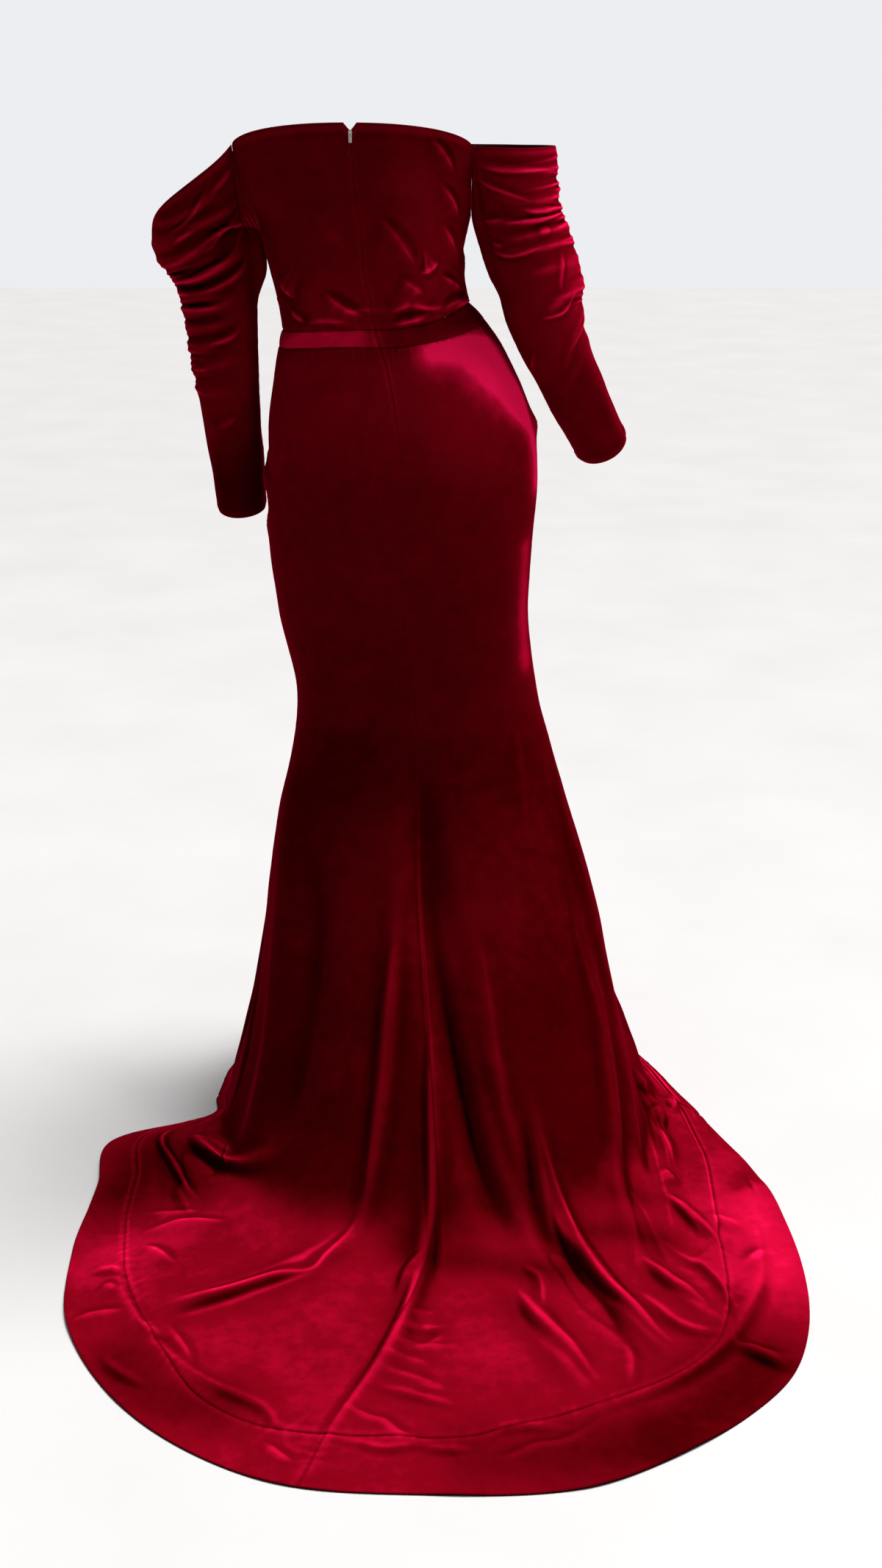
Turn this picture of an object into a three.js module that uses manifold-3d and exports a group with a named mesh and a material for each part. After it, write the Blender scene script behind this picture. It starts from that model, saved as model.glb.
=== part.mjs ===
// A velvet mermaid gown, off the shoulder, filled out and standing on its train.
// Millimetres, +Z up. +Y is the gown's back, where the zip and the train are, and
// +X is the wearer's left. The origin is the middle of the waist seam. Heights in
// the tables are above the floor, and the whole gown moves down by WAIST at the end.
import * as THREE from 'three';
import { mergeVertices } from 'three/addons/utils/BufferGeometryUtils.js';
import Module from 'manifold-3d';

const wasm = await Module();
wasm.setup();

const WAIST = 1134;         // height of the waist's middle above the floor
const CLOTH = 2.4;          // wall of the lined velvet
const SEAM_GAP = 0.3;       // between two pieces at a seam
const BAND_HEIGHT = 24;     // the waistband, seam to seam
const BAND_PROUD = 1.2;     // how far the waistband's middle bows out
const BAND_INSET = 0.012;   // share of its height that it stops short at each seam
const ZIP_NOTCH = 10;       // depth of the V left open above the zip
const ZIP_NOTCH_HALF = Math.PI / 90;   // and its half width, as an angle round the back
const STEP = 0.01;          // a small step of an angle or a row, for slopes

const VELVET = 0x7d0a26;
const VELVET_DEEP = 0x5c0619;
const VELVET_LIT = 0xa3133f;
const ZIP_METAL = 0xd9c9bd;

const radians = THREE.MathUtils.degToRad;
const degrees = THREE.MathUtils.radToDeg;
const clamp = THREE.MathUtils.clamp;
const lerp = THREE.MathUtils.lerp;
const BACK_MIDDLE = radians(90);

// ---- tables -------------------------------------------------------------

function table(names, ...rows) {
  const columns = names.split(' ');
  return rows.map((row) => Object.fromEntries(columns.map((name, i) => [name, row[i]])));
}

// Every column of a table at one value of its key column, on a smooth curve.
function along(rows, key, at) {
  const last = rows.length - 1;
  const here = clamp(at, rows[0][key], rows[last][key]);
  let i = 0;
  while (i < last - 1 && rows[i + 1][key] <= here) i += 1;
  const span = rows[i + 1][key] - rows[i][key];
  const u = (here - rows[i][key]) / span;
  const slope = (j, name) => {
    const low = rows[Math.max(j - 1, 0)];
    const high = rows[Math.min(j + 1, last)];
    return (high[name] - low[name]) / (high[key] - low[key]);
  };
  const result = {};
  for (const name of Object.keys(rows[0])) {
    result[name] = (2 * u ** 3 - 3 * u ** 2 + 1) * rows[i][name]
      + (u ** 3 - 2 * u ** 2 + u) * span * slope(i, name)
      + (3 * u ** 2 - 2 * u ** 3) * rows[i + 1][name]
      + (u ** 3 - u ** 2) * span * slope(i + 1, name);
  }
  return result;
}

const smooth = (u) => THREE.MathUtils.smoothstep(u, 0, 1);
const rounded = (value, exponent) => Math.sign(value) * Math.abs(value) ** exponent;
const bell = (u) => Math.exp(-u * u);
const wrap = (angle) => THREE.MathUtils.euclideanModulo(angle + Math.PI, 2 * Math.PI) - Math.PI;

// An angle in degrees from the front's middle at -90, round the left, back and right to 270.
const tableAngle = (phi) => THREE.MathUtils.euclideanModulo(degrees(phi) + 90, 360) - 90;

// A value that differs at the left, back, right and front, blended round the ring.
function around(phi, left, back, right, front) {
  const side = Math.cos(phi) >= 0 ? left : right;
  const end = Math.sin(phi) >= 0 ? back : front;
  const share = Math.sin(phi) >= 0 ? Math.sin(phi) ** 2 : Math.sin(phi) ** 4;
  return lerp(side, end, share);
}

// ---- skirt --------------------------------------------------------------

// Rings of the skirt from the waist seam (level 0) to the floor. cx, cy: middle.
// w: half width. back, front: how far it reaches. nb, nf: roundness of the two halves.
// zl, zb, zr, zf: height at the left, back, right and front.
const SKIRT = table('level cx cy w back front nb nf zl zb zr zf',
  [0, 1, -6, 143, 84, -96, 2.2, 2.2, 1103, 1113, 1140, 1130],
  [1, -10, -2, 161, 100, -100, 2.2, 2.2, 1068, 1078, 1096, 1088],
  [2, -22, 4, 184, 124, -102, 2.2, 2.2, 1000, 1008, 1016, 1008],
  [3, -28, 6, 191, 134, -100, 2.2, 2.2, 925, 928, 932, 928],
  [4, -25, 6, 189, 126, -100, 2.2, 2.2, 830, 830, 830, 830],
  [5, -28, 6, 181, 114, -98, 2.2, 2.2, 735, 735, 735, 735],
  [6, -44, 6, 175, 108, -95, 2.1, 2.1, 615, 610, 615, 615],
  [7, -49, 16, 188, 138, -106, 2.1, 2.1, 520, 510, 520, 520],
  [8, -50, 34, 211, 200, -128, 2.1, 2.0, 425, 400, 425, 430],
  [9, -57, 58, 233, 280, -152, 2.1, 2.0, 320, 290, 320, 350],
  [10, -66, 82, 256, 370, -178, 2.1, 1.9, 205, 180, 205, 280],
  [11, -74, 105, 284, 460, -200, 2.1, 1.9, 105, 85, 105, 225],
  [12, -77, 130, 313, 545, -222, 2.2, 1.7, 30, 18, 30, 180],
);
const FLOOR_LEVEL = 12;     // the last of those rings
const HEM_SEAM = 15;        // level where the hem band is sewn on
const HEM = 16;

// From there the rings run out to the hemline. reach: how far each has gone, and in front.
const RUN_OUT = table('level zl zb zr zf reach reachFront',
  [13, 9, 6, 9, 150, 0.226, 0.17],
  [14, 6, 6, 6, 128, 0.495, 0.3],
  [15, 6, 6, 6, 112, 0.757, 0.4],
  [16, 2.4, 2.4, 2.4, 8, 1, 1],
);

// The hem's edge on the floor, by the angle of the skirt line that ends there.
const HEMLINE = table('angle x y',
  [-105, -165, -262],
  [-90, -77, -280],
  [-75, 11, -262],
  [-60, 88, -208],
  [-45, 160, -130],
  [-30, 214, -42],
  [-15, 247, 52],
  [-6, 254, 102],
  [1, 258, 146],
  [8, 264, 200],
  [16, 398, 268],
  [24, 398, 390],
  [34, 406, 540],
  [48, 380, 716],
  [63, 273, 882],
  [76, 115, 987],
  [90, -77, 1010],
  [102, -234, 1001],
  [110, -332, 957],
  [119, -434, 882],
  [128, -507, 795],
  [139, -545, 671],
  [150, -551, 525],
  [163, -532, 380],
  [175, -488, 250],
  [187, -440, 130],
  [200, -405, 28],
  [215, -350, -76],
  [232, -275, -165],
  [240, -232, -212],
  [255, -165, -262],
  [270, -77, -280],
  [285, 11, -262],
);

// Where the pieces are cut: the centre back seam leans from the back's middle by these
// degrees, and the hem band's seam isn't at HEM_SEAM all round.
const BACK_SEAM = table('level lean', [11.5, 0], [13, -3.4], [14, -7], [15, -9.8], [16, -11.2]);
const BAND_SEAM = table('angle level',
  [0, 15],
  [42, 14.85],
  [62, 14.95],
  [77, 15.3],
  [90, 15.25],
  [100, 15.2],
  [112, 14.93],
  [126, 15.02],
  [137, 14.58],
  [147, 14.2],
  [160, 14.1],
  [175, 14.35],
  [192, 14.75],
  [215, 15],
);

// Folds of the skirt, each through three places given by angle and level.
// width: from crest to flank, mm. depth: mm, a ridge where positive, a trough where not.
const SKIRT_FOLDS = table('a0 l0 a1 l1 a2 l2 width depth',
  [46.5, 7.2, 46, 9.9, 37, 11.8, 34, -16],
  [23, 7.4, 29, 9.6, 26, 12.4, 28, 10],
  [84, 7.8, 77, 10, 71, 12.4, 15, 9],
  [91, 9.2, 88.5, 11.6, 82, 15, 16, 9],
  [89.5, 6, 97, 9.2, 106.5, 12.6, 26, -24],
  [91.5, 7, 102, 10.1, 110, 12.4, 18, 10],
  [108, 9.5, 110, 10.4, 112, 11.4, 14, 4],
  [119.5, 10.3, 117, 12.6, 118, 15, 16, 12],
  [116, 10.4, 114.5, 11.7, 113, 13, 15, -7],
  [164, 7.8, 149, 10.9, 119, 13.8, 24, 9],
  [173, 5.4, 167, 9.5, 136, 13.7, 30, 14],
  [165, 10.9, 172, 12.1, 167, 13, 14, 6],
  [101, 12.5, 104, 13.6, 107, 14.9, 20, 8],
  [127, 13, 126, 14, 126, 15, 16, 7],
  [146, 12.8, 144, 13.6, 142, 14.4, 14, 6],
  [72, 11.8, 61, 13.5, 52, 14.9, 26, 12],
  [43, 11.3, 29, 12.3, 16, 13.5, 20, 9],
  [36, 13.2, 24, 13.8, 14, 14.5, 18, 5],
  [203, 6.6, 206, 10, 212, 13.6, 26, 12],
  [226, 7.2, 229, 10.5, 233, 14.2, 24, -12],
  [242, 6.6, 247, 10, 251, 14.6, 22, 11],
  [268, 7.4, 266, 11, 261, 14.9, 22, 9],
  [289, 6.8, 293, 10, 297, 14.6, 24, 12],
  [305, 7.6, 309, 11, 314, 14.4, 24, -12],
  [323, 6.8, 329, 10, 336, 13.6, 26, 11],
  [346, 7.4, 348, 10, 350, 12.6, 24, 9],
);
const FOLD_RISE = 0.4;      // share of a fold's length over which it deepens from its start
const FOLD_FALL = 0.3;      // and over which it dies out at its end

// A point of one whole ring: a superellipse, or on its way from the last one to the hemline.
function skirtRing(phi, level) {
  const shape = SKIRT[Math.min(level, FLOOR_LEVEL)];
  const out = RUN_OUT[level - FLOOR_LEVEL - 1];
  const heights = out ?? shape;
  const back = Math.sin(phi) >= 0;
  const exponent = 2 / (back ? shape.nb : shape.nf);
  const depth = back ? shape.back - shape.cy : shape.cy - shape.front;
  const point = new THREE.Vector3(
    shape.cx + shape.w * rounded(Math.cos(phi), exponent),
    shape.cy + depth * rounded(Math.sin(phi), exponent),
    around(phi, heights.zl, heights.zb, heights.zr, heights.zf),
  );
  if (out) {
    const hem = along(HEMLINE, 'angle', tableAngle(phi));
    const reach = around(phi, out.reach, out.reach, out.reach, out.reachFront);
    point.lerp(new THREE.Vector3(hem.x, hem.y, point.z), reach);
  }
  return point;
}

function skirtBase(phi, level) {
  const first = clamp(Math.floor(level), 0, HEM - 1);
  const u = clamp(level - first, 0, 1);
  const ring = (k) => skirtRing(phi, clamp(k, 0, HEM));
  const [before, low, high, after] = [ring(first - 1), ring(first), ring(first + 1), ring(first + 2)];
  const slopeLow = high.clone().sub(before).multiplyScalar(first > 0 ? 0.5 : 1);
  const slopeHigh = after.clone().sub(low).multiplyScalar(first < HEM - 1 ? 0.5 : 1);
  const point = low.multiplyScalar(2 * u ** 3 - 3 * u ** 2 + 1)
    .addScaledVector(slopeLow, u ** 3 - 2 * u ** 2 + u)
    .addScaledVector(high, 3 * u ** 2 - 2 * u ** 3)
    .addScaledVector(slopeHigh, u ** 3 - u ** 2);
  point.z = Math.max(point.z, CLOTH);
  return point;
}

// The place on the skirt of a line phi and a row v that follow the pieces' cut edges.
function onCut(phi, v) {
  const seam = along(BAND_SEAM, 'angle', tableAngle(phi)).level;
  const below = v > HEM_SEAM;
  const share = below ? (HEM - v) / (HEM - HEM_SEAM) : (v - FLOOR_LEVEL) / (HEM_SEAM - FLOOR_LEVEL);
  const level = v + (seam - HEM_SEAM) * clamp(share, 0, 1);
  const near = Math.max(0, Math.min(phi, Math.PI - phi) / BACK_MIDDLE);
  const lean = along(BACK_SEAM, 'level', level).lean * near;
  return { angle: phi + radians(lean), level };
}

// The angle of a fold at a level, on the parabola through its three places.
function foldAngle(fold, level) {
  const first = (level - fold.l1) * (level - fold.l2) / ((fold.l0 - fold.l1) * (fold.l0 - fold.l2));
  const middle = (level - fold.l0) * (level - fold.l2) / ((fold.l1 - fold.l0) * (fold.l1 - fold.l2));
  const last = (level - fold.l0) * (level - fold.l1) / ((fold.l2 - fold.l0) * (fold.l2 - fold.l1));
  return radians(fold.a0 * first + fold.a1 * middle + fold.a2 * last);
}

function skirtRelief(phi, level) {
  const chord = skirtBase(phi + STEP, level).distanceTo(skirtBase(phi - STEP, level));
  const perRadian = chord / (2 * STEP);
  let relief = 0;
  for (const fold of SKIRT_FOLDS) {
    if (level <= fold.l0 || level >= fold.l2) continue;
    const length = fold.l2 - fold.l0;
    const strength = smooth((level - fold.l0) / (FOLD_RISE * length))
      * smooth((fold.l2 - level) / (FOLD_FALL * length));
    const away = wrap(phi - foldAngle(fold, level)) * perRadian;
    relief += fold.depth * strength * bell(away / fold.width);
  }
  return relief;
}

// A surface moved out along its own normal by a relief, and kept off the floor.
function moveOut(base, turn, relief) {
  return (u, v) => {
    const point = base(u, v).addScaledVector(normalOf(base, turn, u, v), relief(u, v));
    point.z = Math.max(point.z, CLOTH);
    return point;
  };
}

// The outward normal. turn is 1 where u runs anticlockwise seen from above and v down.
function normalOf(surface, turn, u, v) {
  const across = surface(u + STEP, v).sub(surface(u - STEP, v));
  const down = surface(u, v + STEP).sub(surface(u, v - STEP));
  return down.cross(across).multiplyScalar(turn).normalize();
}

function onSkirt(value) {
  return (phi, v) => {
    const { angle, level } = onCut(phi, v);
    return value(angle, level);
  };
}

const skirt = moveOut(onSkirt(skirtBase), 1, onSkirt(skirtRelief));

// ---- bodice and waistband -----------------------------------------------

const BODICE_ROUNDNESS = 2.2;
const BODICE = table('z cx cy w back front',
  [1120, 4, -6, 134, 82, -94],
  [1145, 9, -6, 132, 83, -94],
  [1175, 14, -4, 131, 87, -99],
  [1214, 22, 0, 133, 93, -113],
  [1270, 25, 0, 145, 98, -131],
  [1310, 32, 0, 163, 97, -127],
  [1370, 36, 0, 181, 92, -114],
  [1410, 37, 0, 185, 89, -108],
);
const ARMHOLE_HALF = radians(30);   // each armhole spans this angle either side of the side seam
const ARMHOLE_POWER = 2.5;
const ARMHOLES = {
  left: { side: 1, bottom: 1235, corner: 1370 },
  right: { side: -1, bottom: 1279, corner: 1368 },
};
const BACK_RISE = 31;               // the back's top edge above the armhole's corners
const BACK_ARCH = 0.6;              // how flat that edge's arch is, 1 for a plain wave
const FRONT_DROP = 34;              // the front's top edge below them
const BAND_HEIGHTS = [1115, 1125, 1152, 1142];   // middle of the band: left, back, right, front

function torso(phi, z) {
  const ring = along(BODICE, 'z', z);
  const depth = Math.sin(phi) >= 0 ? ring.back - ring.cy : ring.cy - ring.front;
  return new THREE.Vector3(
    ring.cx + ring.w * rounded(Math.cos(phi), 2 / BODICE_ROUNDNESS),
    ring.cy + depth * rounded(Math.sin(phi), 2 / BODICE_ROUNDNESS),
    z,
  );
}

// away: angle from the armhole's lowest point, positive towards the back.
function armholeHeight(armhole, away) {
  const share = Math.min(Math.abs(away) / ARMHOLE_HALF, 1);
  return lerp(armhole.bottom, armhole.corner, share ** ARMHOLE_POWER);
}

function bodiceTop(phi) {
  const turned = wrap(phi);
  const fromLeft = Math.abs(turned);
  const fromRight = Math.PI - fromLeft;
  if (fromLeft <= ARMHOLE_HALF) return armholeHeight(ARMHOLES.left, fromLeft);
  if (fromRight <= ARMHOLE_HALF) return armholeHeight(ARMHOLES.right, fromRight);
  const share = (fromLeft - ARMHOLE_HALF) / (Math.PI - 2 * ARMHOLE_HALF);
  const corners = lerp(ARMHOLES.left.corner, ARMHOLES.right.corner, share);
  const arch = Math.sin(share * Math.PI);
  if (turned < 0) return corners - FRONT_DROP * arch;
  const notch = Math.max(0, 1 - Math.abs(turned - BACK_MIDDLE) / ZIP_NOTCH_HALF);
  return corners + BACK_RISE * arch ** BACK_ARCH - ZIP_NOTCH * notch;
}

const bandMiddle = (phi) => around(phi, ...BAND_HEIGHTS);

function bodice(phi, v) {
  const bottom = bandMiddle(phi) + BAND_HEIGHT / 2;
  return torso(phi, lerp(bodiceTop(phi), bottom, v));
}

function waistband(phi, v) {
  const upper = torso(phi, bandMiddle(phi) + BAND_HEIGHT / 2);
  const lower = skirtBase(phi, 0);
  const outward = new THREE.Vector3(Math.cos(phi), Math.sin(phi), 0);
  return upper.lerp(lower, v).addScaledVector(outward, BAND_PROUD * Math.sin(Math.PI * clamp(v, 0, 1)));
}

// ---- sleeves ------------------------------------------------------------

// Rings of a sleeve at a distance s down its middle line, from the height SLEEVE_TOP.
// x, y, z: middle. a: half width from the body outwards. b: half depth, front to back.
const SLEEVE_TOP = 1375;
const SLEEVES = {
  left: {
    side: 1,
    length: 521,
    rings: table('s x y z a b',
      [0, 243, 0, 1375, 70, 56],
      [113, 242, 2, 1262, 70, 57],
      [163, 228, 6, 1214, 60, 54],
      [203, 222, 10, 1175, 51, 50],
      [263, 219, 14, 1115, 47, 47],
      [325, 215, 8, 1054, 43, 43],
      [387, 213, -6, 993, 40, 40],
      [456, 210, -32, 931, 38, 38],
      [521, 208, -50, 868, 35, 35],
    ),
    edge: table('angle z', [0, 1258], [35, 1284], [70, 1310], [105, 1340], [140, 1370]),
    // Gathers: ridges that start on the outer ruched line and run round towards the body.
    gathers: table('a0 s0 a1 s1 a2 s2 width depth',
      [20, 96, 83, 90, 140, 22, 9, 3.4],
      [0, 122, 89, 108, 150, 70, 9, 3.6],
      [0, 136, 73, 142, 148, 98, 8, 3.4],
      [0, 152, 100, 166, 155, 111, 8, 3.2],
      [0, 168, 56, 180, 155, 140, 7, 3.4],
      [0, 186, 81, 197, 158, 160, 8, 3.6],
      [0, 203, 60, 208, 120, 200, 7, 3.0],
      [0, 220, 76, 221, 130, 205, 9, 4.4],
      [0, 243, 60, 244, 120, 236, 7, 3.0],
      [0, 266, 65, 265, 140, 240, 8, 3.2],
      [0, 296, 71, 290, 130, 278, 9, 2.6],
      [0, 330, 60, 326, 120, 318, 10, 1.8],
      [30, 384, 64, 374, 130, 352, 12, 2.0],
    ),
  },
  right: {
    side: -1,
    length: 490,
    rings: table('s x y z a b',
      [0, -178, 0, 1375, 57, 55],
      [55, -180, 0, 1320, 57, 56],
      [103, -186, 3, 1272, 58, 56],
      [144, -199, 7, 1233, 60, 54],
      [186, -214, 10, 1194, 58, 52],
      [227, -222, 12, 1155, 54, 50],
      [269, -234, 10, 1115, 48, 47],
      [320, -253, -8, 1075, 44, 44],
      [376, -273, -36, 1034, 43, 42],
      [432, -294, -68, 993, 41, 40],
      [490, -316, -100, 952, 39, 38],
    ),
    edge: table('angle z', [0, 1366], [35, 1366], [70, 1366], [105, 1367], [140, 1368]),
    gathers: table('a0 s0 a1 s1 a2 s2 width depth',
      [0, 36, 80, 36, 143, 24, 8, 2.6],
      [0, 64, 71, 81, 147, 41, 9, 2.8],
      [0, 94, 64, 96, 110, 84, 8, 3.0],
      [0, 116, 60, 110, 150, 92, 8, 3.0],
      [0, 134, 64, 130, 140, 119, 8, 3.0],
      [0, 152, 69, 147, 147, 126, 8, 3.2],
      [0, 176, 60, 176, 120, 168, 9, 2.4],
      [0, 200, 40, 205, 104, 236, 10, 3.6],
      [0, 240, 61, 274, 90, 300, 10, 2.6],
      [0, 290, 50, 300, 110, 330, 12, 1.6],
    ),
  },
};
const SHOULDER_CORNER = radians(140);   // where a sleeve's top edge leaves the bodice
const SEAM_EASE = 90;                   // the seam's pull on the sleeve dies out over this length
const SEAM_CLEARANCE = 0.4;             // from the bodice's wall to the sleeve's, at the armhole
const FRONT_SHIFT = 6;                  // the front's gathers sit this much lower
const SHIFT_ANGLE = 60;                 // and have moved down all the way by this angle
const GATHER_RISE = 30;                 // a gather that starts past the outer line deepens over this angle
const GATHER_FALL = 45;                 // a gather dies out over this angle at its end
const GATHER_START = 14;                // and over this length below the sleeve's top edge

// A point on a sleeve. psi is 0 on the outer line, positive round the back.
function sleeveRing(sleeve, psi, s) {
  const ring = along(sleeve.rings, 's', s);
  const above = along(sleeve.rings, 's', s - 1);
  const below = along(sleeve.rings, 's', s + 1);
  const middle = new THREE.Vector3(ring.x, ring.y, ring.z);
  const tangent = new THREE.Vector3(below.x - above.x, below.y - above.y, below.z - above.z).normalize();
  const outward = new THREE.Vector3(sleeve.side, 0, 0);
  outward.addScaledVector(tangent, -outward.dot(tangent)).normalize();
  const backward = new THREE.Vector3().crossVectors(outward, tangent).normalize();
  backward.multiplyScalar(Math.sign(backward.y));
  return middle
    .addScaledVector(outward, ring.a * Math.cos(psi))
    .addScaledVector(backward, ring.b * Math.sin(psi));
}

// The armhole's point that the sleeve is sewn to, just outside the bodice's wall.
function armholePoint(armhole, away) {
  const phi = armhole.side > 0 ? away : Math.PI - away;
  const z = armholeHeight(armhole, away);
  const across = torso(phi + STEP, z).sub(torso(phi - STEP, z));
  const down = new THREE.Vector3(0, 0, -1);
  const outward = down.cross(across).normalize();
  return torso(phi, z).addScaledVector(outward, SEAM_CLEARANCE);
}

// Where a line down the sleeve starts, and how far its top is pulled on to the armhole.
function sleeveStart(sleeve, armhole, psi) {
  const turned = wrap(psi);
  const round = Math.abs(turned);
  const toBack = turned < 0 ? -1 : 1;
  const sewn = round > SHOULDER_CORNER;
  const onSeam = sewn ? (Math.PI - round) / (Math.PI - SHOULDER_CORNER) : 1;
  const target = armholePoint(armhole, toBack * onSeam * ARMHOLE_HALF);
  const free = along(sleeve.edge, 'angle', Math.min(degrees(round), degrees(SHOULDER_CORNER))).z;
  const start = SLEEVE_TOP - (sewn ? target.z : free);
  const reachAngle = sewn ? turned : toBack * SHOULDER_CORNER;
  const reachStart = sewn ? start : SLEEVE_TOP - armhole.corner;
  const pull = target.sub(sleeveRing(sleeve, reachAngle, reachStart));
  const share = sewn ? 1 : (round / SHOULDER_CORNER) ** 2;
  return { start, pull: pull.multiplyScalar(share) };
}

function gatherRelief(sleeve, psi, s, start) {
  const turned = wrap(psi);
  const round = Math.abs(degrees(turned));
  const lower = turned < 0 ? FRONT_SHIFT * smooth(round / SHIFT_ANGLE) : 0;
  let relief = 0;
  for (const fold of sleeve.gathers) {
    if (round < fold.a0 || round > fold.a2) continue;
    const ends = { l0: fold.a0, l1: fold.a1, l2: fold.a2, a0: fold.s0, a1: fold.s1, a2: fold.s2 };
    const crest = degrees(foldAngle(ends, round));
    const rise = fold.a0 > 0 ? smooth((round - fold.a0) / GATHER_RISE) : 1;
    const strength = rise * smooth((fold.a2 - round) / GATHER_FALL);
    relief += fold.depth * strength * bell((s - lower - crest) / fold.width);
  }
  return relief * smooth((s - start) / GATHER_START);
}

function sleeveSurface(name) {
  const sleeve = SLEEVES[name];
  const armhole = ARMHOLES[name];
  const place = (psi, v) => {
    const { start, pull } = sleeveStart(sleeve, armhole, psi);
    const s = lerp(start, sleeve.length, v);
    const point = sleeveRing(sleeve, psi, s);
    return point.addScaledVector(pull, 1 - smooth((s - start) / SEAM_EASE));
  };
  const relief = (psi, v) => {
    const { start } = sleeveStart(sleeve, armhole, psi);
    return gatherRelief(sleeve, psi, lerp(start, sleeve.length, v), start);
  };
  return moveOut(place, sleeve.side, relief);
}

// ---- walls --------------------------------------------------------------

// Moves the edge points of a grid towards their neighbours, half a seam gap.
function drawIn(grid) {
  const lastRow = grid[0].length - 1;
  const lastColumn = grid.length - 1;
  const towards = (point, next) => {
    const way = next.clone().sub(point).normalize();
    return point.clone().addScaledVector(way, SEAM_GAP / 2);
  };
  for (let j = 0; j <= lastRow; j += 1) {
    grid[0][j] = towards(grid[0][j], grid[1][j]);
    grid[lastColumn][j] = towards(grid[lastColumn][j], grid[lastColumn - 1][j]);
  }
  for (let i = 0; i <= lastColumn; i += 1) {
    grid[i][0] = towards(grid[i][0], grid[i][1]);
    grid[i][lastRow] = towards(grid[i][lastRow], grid[i][lastRow - 1]);
  }
}

// A closed wall of cloth: the surface at every column and row, and again CLOTH inside it.
function clothWall(name, surface, turn, columns, rows, colour) {
  const outer = columns.map((u) => rows.map((v) => surface(u, v)));
  const normals = columns.map((u) => rows.map((v) => normalOf(surface, turn, u, v)));
  drawIn(outer);
  const points = [];
  for (const depth of [0, CLOTH]) {
    outer.forEach((column, i) => column.forEach((point, j) => {
      points.push(...point.clone().addScaledVector(normals[i][j], -depth).toArray());
    }));
  }
  const rowCount = rows.length;
  const inside = columns.length * rowCount;
  const at = (i, j) => i * rowCount + j;
  const faces = [];
  const face = (a, b, c) => faces.push(...(turn > 0 ? [a, b, c] : [a, c, b]));
  for (let i = 0; i < columns.length - 1; i += 1) {
    for (let j = 0; j < rowCount - 1; j += 1) {
      const [a, b, c, d] = [at(i, j), at(i, j + 1), at(i + 1, j + 1), at(i + 1, j)];
      face(a, b, c);
      face(a, c, d);
      face(a + inside, c + inside, b + inside);
      face(a + inside, d + inside, c + inside);
    }
  }
  const border = [];
  for (let j = 0; j < rowCount - 1; j += 1) border.push(at(0, j));
  for (let i = 0; i < columns.length - 1; i += 1) border.push(at(i, rowCount - 1));
  for (let j = rowCount - 1; j > 0; j -= 1) border.push(at(columns.length - 1, j));
  for (let i = columns.length - 1; i > 0; i -= 1) border.push(at(i, 0));
  // Neighbours split a shared edge alike, so that its twisted faces lie side by side.
  border.forEach((from, k) => {
    const to = border[(k + 1) % border.length];
    if (from < to) {
      face(to, from, to + inside);
      face(from, from + inside, to + inside);
    } else {
      face(to, from, from + inside);
      face(to, from + inside, to + inside);
    }
  });
  const geometry = new THREE.BufferGeometry();
  geometry.setAttribute('position', new THREE.Float32BufferAttribute(points, 3));
  geometry.setIndex(faces);
  geometry.computeVertexNormals();
  const material = new THREE.MeshStandardMaterial({ color: colour, roughness: 0.9, metalness: 0 });
  const mesh = new THREE.Mesh(geometry, material);
  mesh.name = name;
  return mesh;
}

// count + 1 evenly spaced values, in radians from two angles in degrees.
function angles(from, to, count) {
  return Array.from({ length: count + 1 }, (_, i) => radians(lerp(from, to, i / count)));
}

function spaced(from, to, count) {
  return Array.from({ length: count + 1 }, (_, i) => lerp(from, to, i / count));
}

// ---- zip ----------------------------------------------------------------

// Sizes of the slider, of the bridge over it that holds the pull, and of the pull.
const SLIDER = { top: 5, foot: 3.8, height: 9, thickness: 1.8 };
const BRIDGE = { width: 1.6, foot: 0.8, tunnelHeight: 2.4, tunnelDepth: 1.6, bar: 0.7 };
const PULL = { width: 4.4, length: 12, thickness: 0.8, bar: 0.8, windowWidth: 2.6, windowLength: 3.6 };
const PULL_CLEARANCE = 0.4;     // between the pull and the slider's face
const HINGE_BELOW_NOTCH = 3.5;

const HINGE_Z = bodiceTop(BACK_MIDDLE) - HINGE_BELOW_NOTCH;
const SLIDER_BACK = torso(BACK_MIDDLE, HINGE_Z - SLIDER.height / 2).setZ(HINGE_Z)
  .add(new THREE.Vector3(0, SEAM_GAP, 0));
const HINGE = SLIDER_BACK.clone()
  .add(new THREE.Vector3(0, SLIDER.thickness + PULL_CLEARANCE + PULL.thickness / 2, 0));

const X_AXIS = new THREE.Vector3(1, 0, 0);
const Y_AXIS = new THREE.Vector3(0, 1, 0);
const Z_AXIS = new THREE.Vector3(0, 0, 1);
const FACING_BACK = new THREE.Matrix4().makeBasis(X_AXIS, Z_AXIS, Y_AXIS.clone().negate());
const SIDE_VIEW = new THREE.Matrix4().makeBasis(Y_AXIS, Z_AXIS, X_AXIS);

function polygon(points) {
  return new THREE.Shape(points.map(([a, b]) => new THREE.Vector2(a, b)));
}

function extruded(shape, depth) {
  return new THREE.ExtrudeGeometry(shape, { depth, bevelEnabled: false, curveSegments: 5 });
}

function toSolid(geometry) {
  const bare = geometry.clone();
  bare.deleteAttribute('normal');
  bare.deleteAttribute('uv');
  const merged = mergeVertices(bare, 1e-5);
  const solidMesh = new wasm.Mesh({
    numProp: 3,
    vertProperties: Float32Array.from(merged.attributes.position.array),
    triVerts: Uint32Array.from(merged.index.array),
  });
  return new wasm.Manifold(solidMesh);
}

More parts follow.
